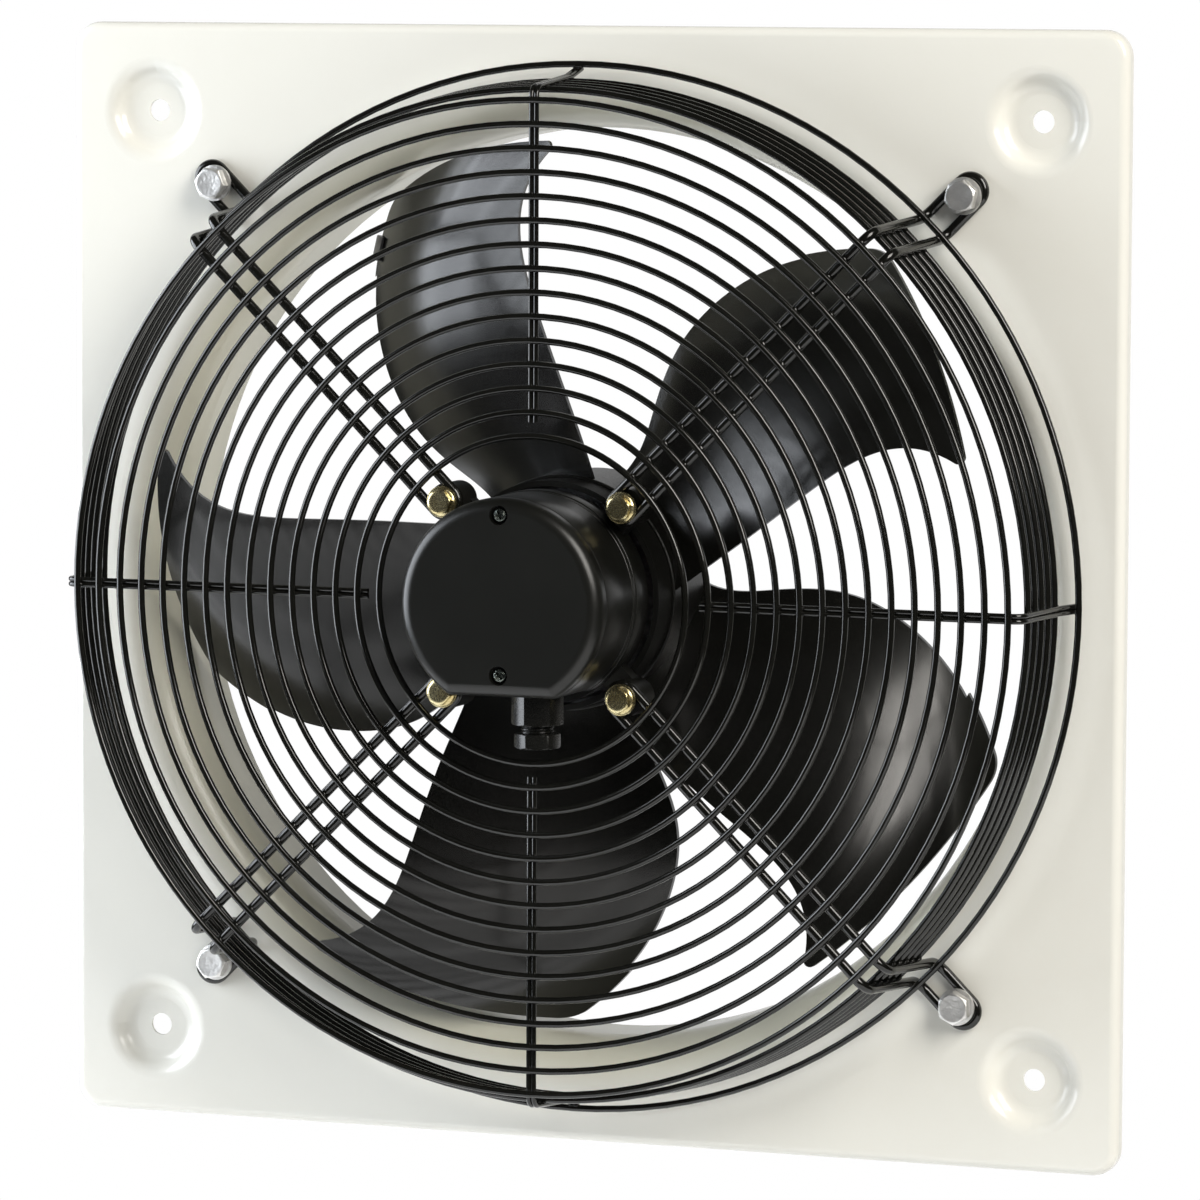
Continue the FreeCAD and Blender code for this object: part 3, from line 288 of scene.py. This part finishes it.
def addLoft(bm, rings, place):
    rows = addRows(bm, rings, place)
    for row in (rows[0], rows[-1]):
        capRow(bm, row, bm.verts.new(sum((vert.co for vert in row), Vector()) / len(row)))


def addTube(bm, rings, place):
    rows = addRows(bm, rings, place)
    joinRows(bm, [rows[-1], rows[0]])


def placed(face, turn):
    return Matrix.Diagonal((mm, mm, mm, 1)) @ Matrix(face) @ Matrix.Rotation(math.radians(turn), 4, "Z")


def forward(across, up, front, turn=0.0):
    return placed(((1, 0, 0, across), (0, 0, -1, -front), (0, 1, 0, up), (0, 0, 0, 1)), turn)


def downward(across, front, up, turn):
    return placed(((1, 0, 0, across), (0, -1, 0, -front), (0, 0, -1, up), (0, 0, 0, 1)), turn)


def cornerPlaces(radius):
    side = radius / math.sqrt(2)
    return [(side, side), (-side, side), (-side, -side), (side, -side)]


def makePiece(name, bm, slot, stands=(), body="frame", sharp=32.0):
    bmesh.ops.recalc_face_normals(bm, faces=bm.faces)
    mesh = bpy.data.meshes.new(name)
    bm.to_mesh(mesh)
    bm.free()
    for face in mesh.polygons:
        face.use_smooth = True
    mesh.set_sharp_from_angle(angle=math.radians(sharp))
    mesh.materials.append(finishes[slot])
    piece = bpy.data.objects.new(name, mesh)
    bpy.context.collection.objects.link(piece)
    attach(piece, body)
    if stands:
        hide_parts(*stands)


# guard bolts: hexagon heads with a turned chamfer and a bearing face, on threaded shanks

boltLook = dict(ring=251.4, seat=14.1, flats=13.0, head=5.3, chamfer=6.1, chamferSteps=6, faceEdge=0.5,
                dishEdge=1.6, dishDepth=0.12, bearing=5.9, bearingStep=0.35, shank=3.98, back=1.0, lead=0.6,
                threadEnd=6.2, plain=6.0, pitch=1.25, threadDepth=0.62, perPitch=7,
                turns=(17.0, 52.0, 8.0, 31.0), count=72)


def addBolts(s):
    bm = bmesh.new()
    count, flats, head, chamfer = s["count"], s["flats"], s["head"], s["chamfer"]
    tip = s["back"] - s["seat"]
    rings = [ringOf(s["shank"] - s["threadDepth"], tip, count)]
    rings += threadRings(s, s["shank"], tip + s["lead"], -s["threadEnd"])
    rings += turnedRings([(s["shank"], -s["plain"]), (s["shank"], 0.0), (s["bearing"], 0.0),
                          (s["bearing"], s["bearingStep"])], count)
    rings.append(hexRing(flats, math.inf, s["bearingStep"], count))
    rings += [hexRing(flats, limit, head - level, count)
              for limit, level in reversed(chamferLevels(flats, chamfer, s["chamferSteps"]))]
    rings += turnedRings([(chamfer - s["faceEdge"], head),
                          (chamfer - s["dishEdge"], head - s["dishDepth"])], count)
    for (x, z), turn in zip(cornerPlaces(s["ring"]), s["turns"]):
        addLoft(bm, rings, forward(x, z, s["seat"], turn))
    makePiece("guardBolts", bm, "zinc_steel", ["plate_bolts"])


# washers, worn round on their front edge

washerLook = dict(front=14.1, back=12.5, outer=8.2, inner=4.5, edge=0.3, count=64)
washerWear = dict(side=0.4, drop=0.25, top=1.2)


def addWashers(name, s, radius, slot, stands):
    bm = bmesh.new()
    edge, inner, outer, thick = s["edge"], s["inner"], s["outer"], s["front"] - s["back"]
    rings = turnedRings([
        (inner, 0), (outer - edge, 0), (outer, edge), (outer, thick - edge),
        (outer - edge * washerWear["side"], thick - edge * washerWear["drop"]),
        (outer - edge * washerWear["top"], thick), (inner + edge, thick), (inner, thick - edge)], s["count"])
    for x, z in cornerPlaces(radius):
        addTube(bm, rings, forward(x, z, s["back"]))
    makePiece(name, bm, slot, stands)


# nuts behind the plate, chamfered on both faces

nutLook = dict(front=6.5, back=1.5, flats=13.0, limit=6.2, chamferSteps=4, bore=4.05, boreEdge=0.5,
               turns=(11.0, 47.0, 25.0, 3.0), count=72)


def addNuts(s):
    bm = bmesh.new()
    count, flats, bore, edge = s["count"], s["flats"], s["bore"], s["boreEdge"]
    thick = s["front"] - s["back"]
    levels = chamferLevels(flats, s["limit"], s["chamferSteps"])
    rings = turnedRings([(bore, edge), (bore + edge, 0)], count)
    rings += [hexRing(flats, limit, level, count) for limit, level in levels]
    rings += [hexRing(flats, limit, thick - level, count) for limit, level in reversed(levels)]
    rings += turnedRings([(bore + edge, thick), (bore, thick - edge)], count)
    for (x, z), turn in zip(cornerPlaces(boltLook["ring"]), s["turns"]):
        addTube(bm, rings, forward(x, z, s["back"], turn))
    makePiece("guardNuts", bm, "zinc_steel", ["plate_nuts"])


addBolts(boltLook)
addWashers("guardBoltWashers", washerLook, boltLook["ring"], "zinc_steel", ["plate_washers"])
addNuts(nutLook)


# motor screws: yellow hexagon heads with a round rim on a thin flange, threaded shanks, and their washers

screwLook = dict(ring=59.4, seat=73.6, flats=10.0, head=4.0, face=3.65, faceEdge=0.3, rim=1.15, rimSteps=8,
                 flange=6.3, flangeThick=0.5, flangeEdge=0.12, cone=0.95, shank=2.97, reach=18.1, lead=0.5,
                 threadEnd=0.4, pitch=1.0, threadDepth=0.5, perPitch=5, turns=(14.0, 8.0, 47.0, 33.0),
                 count=72)
screwWasherLook = dict(front=73.6, back=72.0, outer=7.0, inner=3.3, edge=0.25, count=64)


def addMotorScrews(s):
    bm = bmesh.new()
    count, flats, head, face, rim = s["count"], s["flats"], s["head"], s["face"], s["rim"]
    flange, thick, edge = s["flange"], s["flangeThick"], s["flangeEdge"]
    rings = [ringOf(s["shank"] - s["threadDepth"], -s["reach"], count)]
    rings += threadRings(s, s["shank"], s["lead"] - s["reach"], -s["threadEnd"])
    rings += turnedRings([(s["shank"], 0.0), (flange - edge, 0.0), (flange, edge), (flange, thick - edge),
                          (flange - edge, thick)], count)
    rings += [hexRing(flats, math.inf, level, count) for level in (s["cone"], head - rim)]
    for a in quarterTurn(1, s["rimSteps"]):
        limit = face + (hexCorner(flats) - face) * math.cos(a)
        rings.append(hexRing(flats, limit, head - rim * (1 - math.sin(a)), count))
    rings.append(ringOf(face - s["faceEdge"], head, count))
    for (x, z), turn in zip(cornerPlaces(s["ring"]), s["turns"]):
        addLoft(bm, rings, forward(x, z, s["seat"], turn))
    makePiece("motorHexScrews", bm, "yellow_zinc", ["motor_screws"])


addMotorScrews(screwLook)
addWashers("motorScrewWashers", screwWasherLook, screwLook["ring"], "yellow_zinc", ["motor_washers"])
print("bolts, nuts, screws and washers made")


# terminal box: a deep D-shaped cup with a stepped collar

boxLook = dict(radius=46.8, rise=0.8, flat=39.0, corner=5.0, leastCorner=0.6, arcSteps=120, cornerSteps=8,
               flatSteps=6, back=59.5, backLip=3.0, backEdge=0.3, collarEnd=66.8, collarStep=0.5,
               collarEdge=0.25, collarMid=(0.08, 0.07), collarFoot=0.12, groove=70.4, grooveWide=0.45,
               grooveDeep=0.28, grooveLip=(0.08, 0.1), front=101.7, frontEdge=0.2, frontMid=0.06, wall=2.5,
               floor=62.0, floorEdge=1.5, sharp=40.0)


def boxOutline(inset, front):
    s = boxLook
    radius, flat, rise = s["radius"] - inset, s["flat"] - inset, s["rise"]
    corner = max(s["corner"] - inset, s["leastCorner"])
    midX = math.sqrt((radius - corner) ** 2 - (flat - corner + rise) ** 2)
    midZ = corner - flat
    meet = math.atan2(midZ - rise, midX)
    points = [(midX * step / s["flatSteps"], -flat) for step in range(s["flatSteps"])]
    for step in range(s["cornerSteps"]):
        a = -math.pi / 2 + (meet + math.pi / 2) * step / s["cornerSteps"]
        points.append((midX + corner * math.cos(a), midZ + corner * math.sin(a)))
    rightSide = points[1:]
    for step in range(s["arcSteps"] + 1):
        a = meet + (math.pi - 2 * meet) * step / s["arcSteps"]
        points.append((radius * math.cos(a), rise + radius * math.sin(a)))
    points += [(-x, z) for x, z in reversed(rightSide)]
    return [Vector((x, z, front)) for x, z in points]


def boxRings(rows):
    return [boxOutline(inset, front) for inset, front in rows]


def addBoxCup(s):
    bm = bmesh.new()
    step, end, foot, edge = s["collarStep"], s["collarEnd"], s["collarFoot"], s["collarEdge"]
    back, front, wall, floor = s["back"], s["front"], s["wall"], s["floor"]
    midIn, midDown = s["collarMid"]
    half, deep = s["grooveWide"] / 2, s["grooveDeep"]
    start, finish = s["groove"] - half, s["groove"] + half
    lipIn, lipOut = s["grooveLip"]
    rows = [(s["backLip"], back), (s["backEdge"] - step, back), (-step, back + s["backEdge"]),
            (-step, end - edge), (midIn - step, end - midDown), (edge - step, end), (-foot, end),
            (0, end + foot),
            (0, start - lipOut), (lipIn, start), (deep, start + half / 2), (deep, finish - half / 2),
            (lipIn, finish), (0, finish + lipOut),
            (0, front - s["frontEdge"]), (s["frontMid"], front - s["frontMid"]), (s["frontEdge"], front),
            (wall, front), (wall, floor), (wall + s["floorEdge"], floor)]
    addLoft(bm, boxRings(rows), forward(0, 0, 0))
    makePiece("terminalBoxCup", bm, "box_plastic", ["terminal_box"], sharp=s["sharp"])


# the seal between cup and cover, flush with both

sealLook = dict(front=102.7, inset=0.1, bulge=0.06, sharp=40.0)


def addBoxSeal(s):
    bm = bmesh.new()
    wall, back, front, inset = boxLook["wall"], boxLook["front"], s["front"], s["inset"]
    rows = [(wall, back), (inset, back), (s["bulge"], (back + front) / 2), (inset, front), (wall, front)]
    addTube(bm, boxRings(rows), forward(0, 0, 0))
    makePiece("terminalBoxSeal", bm, "seal_rubber", ["terminal_gasket"], sharp=s["sharp"])


# the cover's screws: low domes with a cross recess

coverScrewLook = dict(places=(40.2, -29.5), seat=108.3, radius=3.3, head=2.4, headEdge=0.2, headFoot=0.3,
                      domeSteps=6, domeInset=1.0, domeDrop=0.45, topDrop=0.02, crossLong=2.0, crossWide=0.55,
                      crossLip=0.1, lipDeep=0.12, crossDeep=1.5, wideShare=0.7, longShare=0.55, shank=1.97,
                      reach=13.6, tipShare=0.6, tipLong=0.8, turns=(20.0, 41.0), count=96)


def addCoverScrews(s):
    bm = bmesh.new()
    count, radius, shank, foot = s["count"], s["radius"], s["shank"], s["headFoot"]
    wide, long, lip = s["crossWide"], s["crossLong"], s["crossLip"]
    top = s["head"] - s["topDrop"]
    rings = turnedRings([(shank * s["tipShare"], -s["reach"]), (shank, s["tipLong"] - s["reach"]),
                         (shank, 0), (radius - s["headEdge"], 0), (radius, foot)], count)
    rings += turnedRings([(radius - s["domeInset"] * (1 - math.cos(a)),
                           foot + (s["head"] - s["domeDrop"]) * math.sin(a))
                          for a in quarterTurn(1, s["domeSteps"])], count)
    rings += [crossRing(wide + lip, long + lip, top, count),
              crossRing(wide, long, top - s["lipDeep"], count),
              crossRing(wide * s["wideShare"], long * s["longShare"], top - s["crossDeep"], count)]
    for up, turn in zip(s["places"], s["turns"]):
        addLoft(bm, rings, forward(0, up, s["seat"], turn))
    makePiece("coverScrews", bm, "screw_steel", ["cover_screws"])


addBoxCup(boxLook)
addBoxSeal(sealLook)
addCoverScrews(coverScrewLook)
print("terminal box made")


# cable gland: hexagon body with a threaded neck

glandLook = dict(top=-39.0, inside=8.0, insideRadius=7.9, flats=20.4, body=14.5, chamfer=11.1, topEdge=0.35,
                 topSteps=4, lowEdge=0.9, lowInset=0.5, lowSteps=5, neckRadius=7.25, neckFoot=(0.5, 0.35),
                 neckEdge=0.5, neck=3.7, lap=4.0, lead=0.5, threadEnd=0.3, pitch=1.5, threadDepth=0.55,
                 perPitch=8, bore=4.5, seat=5.75, seatEdge=(0.2, 0.3), seatDeep=8.0, seatEnd=8.4, turn=20.0,
                 crown=0.4, count=96, sharp=38.0)


def glandPlace(s):
    low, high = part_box("gland_body")
    across, front = (low.x + high.x) / 2 / mm, -(low.y + high.y) / 2 / mm
    return downward(across, front, s["top"], -s["turn"])


def addGlandBody(s, place):
    bm = bmesh.new()
    count, body, crown, chamfer, flats = s["count"], s["body"], s["crown"], s["chamfer"], s["flats"]
    neck, seat = s["neckRadius"], s["seat"]
    corner, end = hexCorner(flats), body + s["neck"] + s["lap"]
    rings = turnedRings([(s["bore"], -s["inside"]), (s["insideRadius"], -s["inside"]),
                         (s["insideRadius"], 0), (chamfer, 0)], count)
    for step in range(1, s["topSteps"] + 1):
        share = step / s["topSteps"]
        limit = chamfer + (corner - chamfer) * share
        rings.append(hexRing(flats, limit, s["topEdge"] * share, count, crown))
    for step in range(s["lowSteps"] + 1):
        share = step / s["lowSteps"]
        limit = corner - (corner - chamfer + s["lowInset"]) * share ** 2
        rings.append(hexRing(flats, limit, body - s["lowEdge"] + s["lowEdge"] * share, count, crown))
    footOut, footLong = s["neckFoot"]
    rings += turnedRings([(neck + footOut, body), (neck, body + footLong)], count)
    rings += threadRings(s, neck, body + s["lead"], end - s["threadEnd"])
    edgeOut, edgeDeep = s["seatEdge"]
    rings += turnedRings([(neck - s["neckEdge"], end), (seat + edgeOut, end), (seat, end - edgeDeep),
                          (seat, end - s["seatDeep"]), (s["bore"], end - s["seatEnd"])], count)
    addTube(bm, rings, place)
    makePiece("glandBody", bm, "gland_plastic", ["gland_body"], sharp=s["sharp"])


# the gland's domed clamping nut

glandNutLook = dict(flats=18.2, long=6.8, hole=4.7, clear=0.08, faceRadius=8.6, chamfer=9.0, chamferLow=0.12,
                    chamferHigh=0.5, chamferSteps=3, domeRadius=8.2, domeLong=1.6, domeSteps=8, holeEdge=0.6,
                    holeFoot=0.5, holeDeep=2.2, lapGap=0.4, sharp=38.0)


def addGlandNut(s, g, place):
    bm = bmesh.new()
    count, crown, flats, hole = g["count"], g["crown"], s["flats"], s["hole"]
    start, thread = g["body"] + g["neck"], g["neckRadius"] + s["clear"]
    corner, end = hexCorner(flats), start + s["long"]
    rings = turnedRings([(thread, start), (s["faceRadius"], start)], count)
    for step in range(s["chamferSteps"] + 1):
        share = step / s["chamferSteps"]
        limit = s["chamfer"] + (corner - s["chamfer"]) * share
        rings.append(hexRing(flats, limit, start + s["chamferLow"] + s["chamferHigh"] * share, count, crown))
    for a in quarterTurn(0, s["domeSteps"]):
        limit = s["domeRadius"] + (corner - s["domeRadius"]) * math.cos(a)
        rings.append(hexRing(flats, limit, end - s["domeLong"] * (1 - math.sin(a)), count, crown))
    rings += turnedRings([(hole + s["holeEdge"], end), (hole, end - s["holeFoot"]),
                          (hole, end - s["holeDeep"]), (thread, start + g["lap"] + s["lapGap"])], count)
    addTube(bm, rings, place)
    makePiece("glandNut", bm, "gland_plastic", ["gland_nut"], sharp=s["sharp"])


# the gland's rubber insert, open in the middle

insertLook = dict(hole=3.5, deep=7.8, clear=0.1, shoulder=0.2, coneInset=0.5, coneLong=0.3, face=0.5,
                  faceClear=0.1, holeEdge=0.6, holeStep=0.1)


def addGlandInsert(s, g, nut, place):
    bm = bmesh.new()
    hole, wall = s["hole"], g["seat"] - s["clear"]
    end = g["body"] + g["neck"] + g["lap"]
    addTube(bm, turnedRings([
        (hole, end - s["deep"]), (wall, end - s["deep"]), (wall, end - s["shoulder"]),
        (g["seat"] - s["coneInset"], end + s["coneLong"]), (nut["hole"] + s["faceClear"], end + s["face"]),
        (hole + s["holeEdge"], end + s["face"]), (hole + s["holeStep"], end + s["coneLong"]),
        (hole, end - s["shoulder"])], g["count"]), place)
    makePiece("glandInsert", bm, "seal_rubber", ["gland_seal"])


glandAt = glandPlace(glandLook)
addGlandBody(glandLook, glandAt)
addGlandNut(glandNutLook, glandLook, glandAt)
addGlandInsert(insertLook, glandLook, glandNutLook, glandAt)
print("gland made")


# resistance welds: a small squeezed bead wherever a ring crosses a strut or a stay

weldLook = dict(spokes=8, front=71.75, inner=72.0, outer=218.5, frontCount=15, strutOffset=6.3,
                stayOffset=1.15, stayInner=80.0, sideFirst=59.0, sidePitch=7.5, sideCount=5, legFoot=230.7,
                footFront=10.25, legSlope=0.09244, lap=3.25, ringHalf=1.25, baseFront=18.0, baseRing=233.23,
                strutBead=(2.1, 2.1, 0.85), stayBead=(1.55, 1.5, 0.7), sizeSpread=(0.88, 1.12),
                rollSpread=(0, 6.28), seed=7, sharp=80.0)
beadLook = dict(around=12, levels=6, waves=((3, 1, 0.10), (5, 2, 0.06)))


def addBead(bm, centre, across, along, normal, size, roll):
    s = beadLook
    wide, long, high = size
    rows = []
    for level in range(1, s["levels"]):
        polar = math.pi * level / s["levels"]
        row = []
        for step in range(s["around"]):
            a = 2 * math.pi * step / s["around"]
            wobble = sum(depth * math.sin(lobes * a + shift * roll) for lobes, shift, depth in s["waves"])
            reach = (1 + wobble) * math.sin(polar)
            point = (across * (wide * reach * math.cos(a)) + along * (long * reach * math.sin(a))
                     + normal * (high * math.cos(polar)))
            row.append(bm.verts.new((centre + point) * mm))
        rows.append(row)
    joinRows(bm, rows)
    for row, sign in ((rows[0], 1), (rows[-1], -1)):
        capRow(bm, row, bm.verts.new((centre + normal * (high * sign)) * mm))


def weldSpots(s, isStrut, radial, out):
    pitch = (s["outer"] - s["inner"]) / (s["frontCount"] - 1)
    spots = []
    for number in range(s["frontCount"]):
        radius = s["inner"] + number * pitch
        if isStrut or radius > s["stayInner"]:
            spots.append((radius, s["front"], out, radial))
    for number in range(s["sideCount"]):
        front = s["sideFirst"] - number * s["sidePitch"]
        leg = s["legFoot"] - (front - s["footFront"]) * s["legSlope"]
        spots.append((leg - s["lap"] + s["ringHalf"], front, radial, out))
    spots.append((s["baseRing"] - s["ringHalf"], s["baseFront"], radial, out))
    return spots


def addWelds(s):
    draw = random.Random(s["seed"])
    bm = bmesh.new()
    out = Vector((0, -1, 0))
    for turn in range(s["spokes"]):
        isStrut = turn % 2 == 1
        a = math.radians(360 / s["spokes"] * turn)
        radial, tangent = Vector((math.cos(a), 0, math.sin(a))), Vector((-math.sin(a), 0, math.cos(a)))
        offset = s["strutOffset"] if isStrut else s["stayOffset"]
        size = s["strutBead"] if isStrut else s["stayBead"]
        for radius, front, normal, along in weldSpots(s, isStrut, radial, out):
            reach = math.sqrt(radius ** 2 - offset ** 2)
            for side in (-1, 1):
                scale = draw.uniform(*s["sizeSpread"])
                centre = radial * reach + tangent * (side * offset) + out * front
                roll = draw.uniform(*s["rollSpread"])
                addBead(bm, centre, tangent, along, normal, [scale * length for length in size], roll)
    makePiece("guardWelds", bm, "guard_paint", sharp=s["sharp"])


addWelds(weldLook)
print("guard welds made")


# balance clip: a folded strip pushed over the trailing edge of one blade

clipLook = dict(centre=(-111.1, 22.6, 148.3), along=(0.212, 0.035, 0.977), normal=(-0.766, -0.619, 0.172),
                length=11.0, inner=1.4, outer=2.9, fold=1.5, foldSteps=8, leg=7.0, seat=0.3, nip=0.4,
                nipLong=1.2, ends=((-0.5, 0.3), (-0.46, 0.0), (0.46, 0.0), (0.5, 0.3)))


def clipOutline(s):
    leg, nipStart, inner, outer, seat = s["leg"], s["leg"] - s["nipLong"], s["inner"], s["outer"], s["seat"]
    outline = [(leg, outer - s["nip"]), (nipStart, outer)]
    for step in range(s["foldSteps"] + 1):
        a = math.pi * step / s["foldSteps"]
        outline.append((-seat - s["fold"] * math.sin(a), outer * math.cos(a)))
    return outline + [(nipStart, -outer), (leg, s["nip"] - outer), (leg, -inner), (-seat, -inner),
                      (-seat, inner), (leg, inner)]


def addBalanceClip(s):
    along = Vector(s["along"]).normalized()
    inward = along.cross(Vector(s["normal"])).normalized()
    normal = inward.cross(along)
    outline = clipOutline(s)
    bm = bmesh.new()
    rows = []
    for reach, shrink in s["ends"]:
        row = []
        for u, w in outline:
            thin = math.copysign(max(abs(w) - shrink, s["inner"]), w)
            point = Vector(s["centre"]) + along * (reach * s["length"]) + inward * u + normal * thin
            row.append(bm.verts.new(point * mm))
        rows.append(row)
    joinRows(bm, rows)
    bm.faces.new(rows[0])
    bm.faces.new(rows[-1])
    makePiece("balanceClip", bm, "spring_steel", body="impeller")


addBalanceClip(clipLook)
print("balance clip made")


# camera, lamps, sky and floor

white = (1, 1, 1, 1)


def directionAt(azimuth, elevation):
    a, e = math.radians(azimuth), math.radians(elevation)
    return Vector((math.sin(a) * math.cos(e), -math.cos(a) * math.cos(e), math.sin(e)))


def aim(obj, away, target, roll=0.0):
    turn = away.to_track_quat("Z", "Y").to_matrix() @ Matrix.Rotation(math.radians(roll), 3, "Z")
    obj.matrix_world = Matrix.Translation(target) @ turn.to_4x4()


cameraSettings = dict(azimuth=20.844, elevation=5.422, roll=0.222, distance=3.0836, lens=207.47, sensor=36.0,
                      clipEnd=50.0, target=(0.007677, -0.008, -0.005172))


def addCamera(s):
    lens = bpy.data.cameras.new("fanCamera")
    lens.lens, lens.sensor_width, lens.clip_end = s["lens"], s["sensor"], s["clipEnd"]
    camera = bpy.data.objects.new("fanCamera", lens)
    bpy.context.collection.objects.link(camera)
    away = directionAt(s["azimuth"], s["elevation"])
    aim(camera, away, Vector(s["target"]) + away * s["distance"], s["roll"])
    bpy.context.scene.camera = camera


lampSettings = {
    "rightBox": dict(azimuth=54, elevation=31, distance=3.2, wide=1.5, high=2.1, watts=111,
                     tint=(1.0, 0.965, 0.905), mirrored=True),
    "leftBox": dict(azimuth=-74, elevation=8, distance=1.5, wide=1.51, high=1.15, watts=37,
                    tint=(0.935, 0.985, 1.05), mirrored=True),
    "lowCard": dict(azimuth=-84, elevation=-52, distance=2.0, wide=1.3, high=0.9, watts=4.5,
                    tint=(1.0, 1.0, 1.0), mirrored=True),
    "backBox": dict(azimuth=180, elevation=-14, distance=2.2, wide=1.6, high=0.8, watts=22,
                    tint=(1.0, 0.99, 0.96), mirrored=False),
}


def addLamp(name, s):
    lamp = bpy.data.lights.new(name, "AREA")
    lamp.shape, lamp.size, lamp.size_y, lamp.energy = "RECTANGLE", s["wide"], s["high"], s["watts"]
    lamp.color = s["tint"]
    obj = bpy.data.objects.new(name, lamp)
    bpy.context.collection.objects.link(obj)
    away = directionAt(s["azimuth"], s["elevation"])
    aim(obj, away, away * s["distance"])
    obj.visible_camera = False
    obj.visible_glossy = s["mirrored"]


def addMath(tree, operation, first, second):
    node = tree.nodes.new("ShaderNodeMath")
    node.operation = operation
    tree.links.new(first, node.inputs[0])
    tree.links.new(second, node.inputs[1])
    return node.outputs["Value"]


def addSeen(tree, kinds):
    rays = tree.nodes.new("ShaderNodeLightPath")
    seen = rays.outputs[kinds[0]]
    for kind in kinds[1:]:
        seen = addMath(tree, "MAXIMUM", seen, rays.outputs[kind])
    return seen


def addMix(tree, factor, first, second):
    mix = tree.nodes.new("ShaderNodeMixShader")
    for source, socket in zip((factor, first, second), mix.inputs):
        tree.links.new(source, socket)
    return mix.outputs["Shader"]


def addBackground(tree):
    background = tree.nodes.new("ShaderNodeBackground")
    background.inputs["Color"].default_value = white
    return background.inputs["Strength"], background.outputs["Background"]


# the sky is white to the camera; mirrors see it dark in front of the fan and white behind it
skySettings = dict(seen=1.0, diffuse=0.17, front=0.04, back=0.8, turn=(0.5, 0.95))


def addSky(s):
    world = bpy.data.worlds.new("studioSky")
    bpy.context.scene.world = world
    world.use_nodes = True
    tree = world.node_tree
    tree.nodes.clear()
    seenStrength, seenSky = addBackground(tree)
    diffuseStrength, diffuseSky = addBackground(tree)
    mirrorStrength, mirrorSky = addBackground(tree)
    seenStrength.default_value = s["seen"]
    diffuseStrength.default_value = s["diffuse"]
    coords = tree.nodes.new("ShaderNodeTexCoord")
    split = tree.nodes.new("ShaderNodeSeparateXYZ")
    tree.links.new(coords.outputs["Generated"], split.inputs["Vector"])
    tree.links.new(addRange(tree, split.outputs["Y"], s["turn"], (s["front"], s["back"])), mirrorStrength)
    lit = addMix(tree, addSeen(tree, ("Is Glossy Ray",)), diffuseSky, mirrorSky)
    final = addMix(tree, addSeen(tree, ("Is Camera Ray", "Is Transmission Ray")), lit, seenSky)
    out = tree.nodes.new("ShaderNodeOutputWorld")
    tree.links.new(final, out.inputs["Surface"])


# the floor fades to white at its rim and still takes the fan's shadow; from below it is clear
floorSettings = dict(height=-0.75, reach=1.4, dark=(0.90, 0.90, 0.90), light=(0.93, 0.93, 0.93),
                     grainScale=3.0, grainDetail=2.0, grainSpan=(0.3, 0.7), rough=0.9, glow=(0.3, 0.62),
                     fade=(0.55, 1.3))


def addFloor(s):
    mesh = bpy.data.meshes.new("studioFloor")
    r = s["reach"]
    mesh.from_pydata([(-r, -r, 0), (r, -r, 0), (r, r, 0), (-r, r, 0)], [], [(0, 1, 2, 3)])
    floor = bpy.data.objects.new("studioFloor", mesh)
    floor.location.z = s["height"]
    bpy.context.collection.objects.link(floor)
    finish, tree, shader, coords = startFinish("floorFinish")
    grain = addNoise(tree, coords, s["grainScale"], s["grainDetail"])
    tree.links.new(addRamp(tree, grain, s["grainSpan"], s["dark"], s["light"]), shader.inputs["Base Color"])
    shader.inputs["Roughness"].default_value = s["rough"]
    rise = addRange(tree, addLength(tree, coords), s["fade"], s["glow"])
    seen = addSeen(tree, ("Is Camera Ray", "Is Glossy Ray", "Is Transmission Ray"))
    tree.links.new(addMath(tree, "MULTIPLY", seen, rise), shader.inputs["Emission Strength"])
    shader.inputs["Emission Color"].default_value = white
    side = tree.nodes.new("ShaderNodeNewGeometry")
    clear = tree.nodes.new("ShaderNodeBsdfTransparent")
    both = addMix(tree, side.outputs["Backfacing"], shader.outputs["BSDF"], clear.outputs["BSDF"])
    tree.links.new(both, tree.nodes["Material Output"].inputs["Surface"])
    mesh.materials.append(finish)


addCamera(cameraSettings)
for lampName, lampLook in lampSettings.items():
    addLamp(lampName, lampLook)
addSky(skySettings)
addFloor(floorSettings)
bpy.context.scene.view_settings.view_transform = "Standard"
print("camera, lamps and floor set")
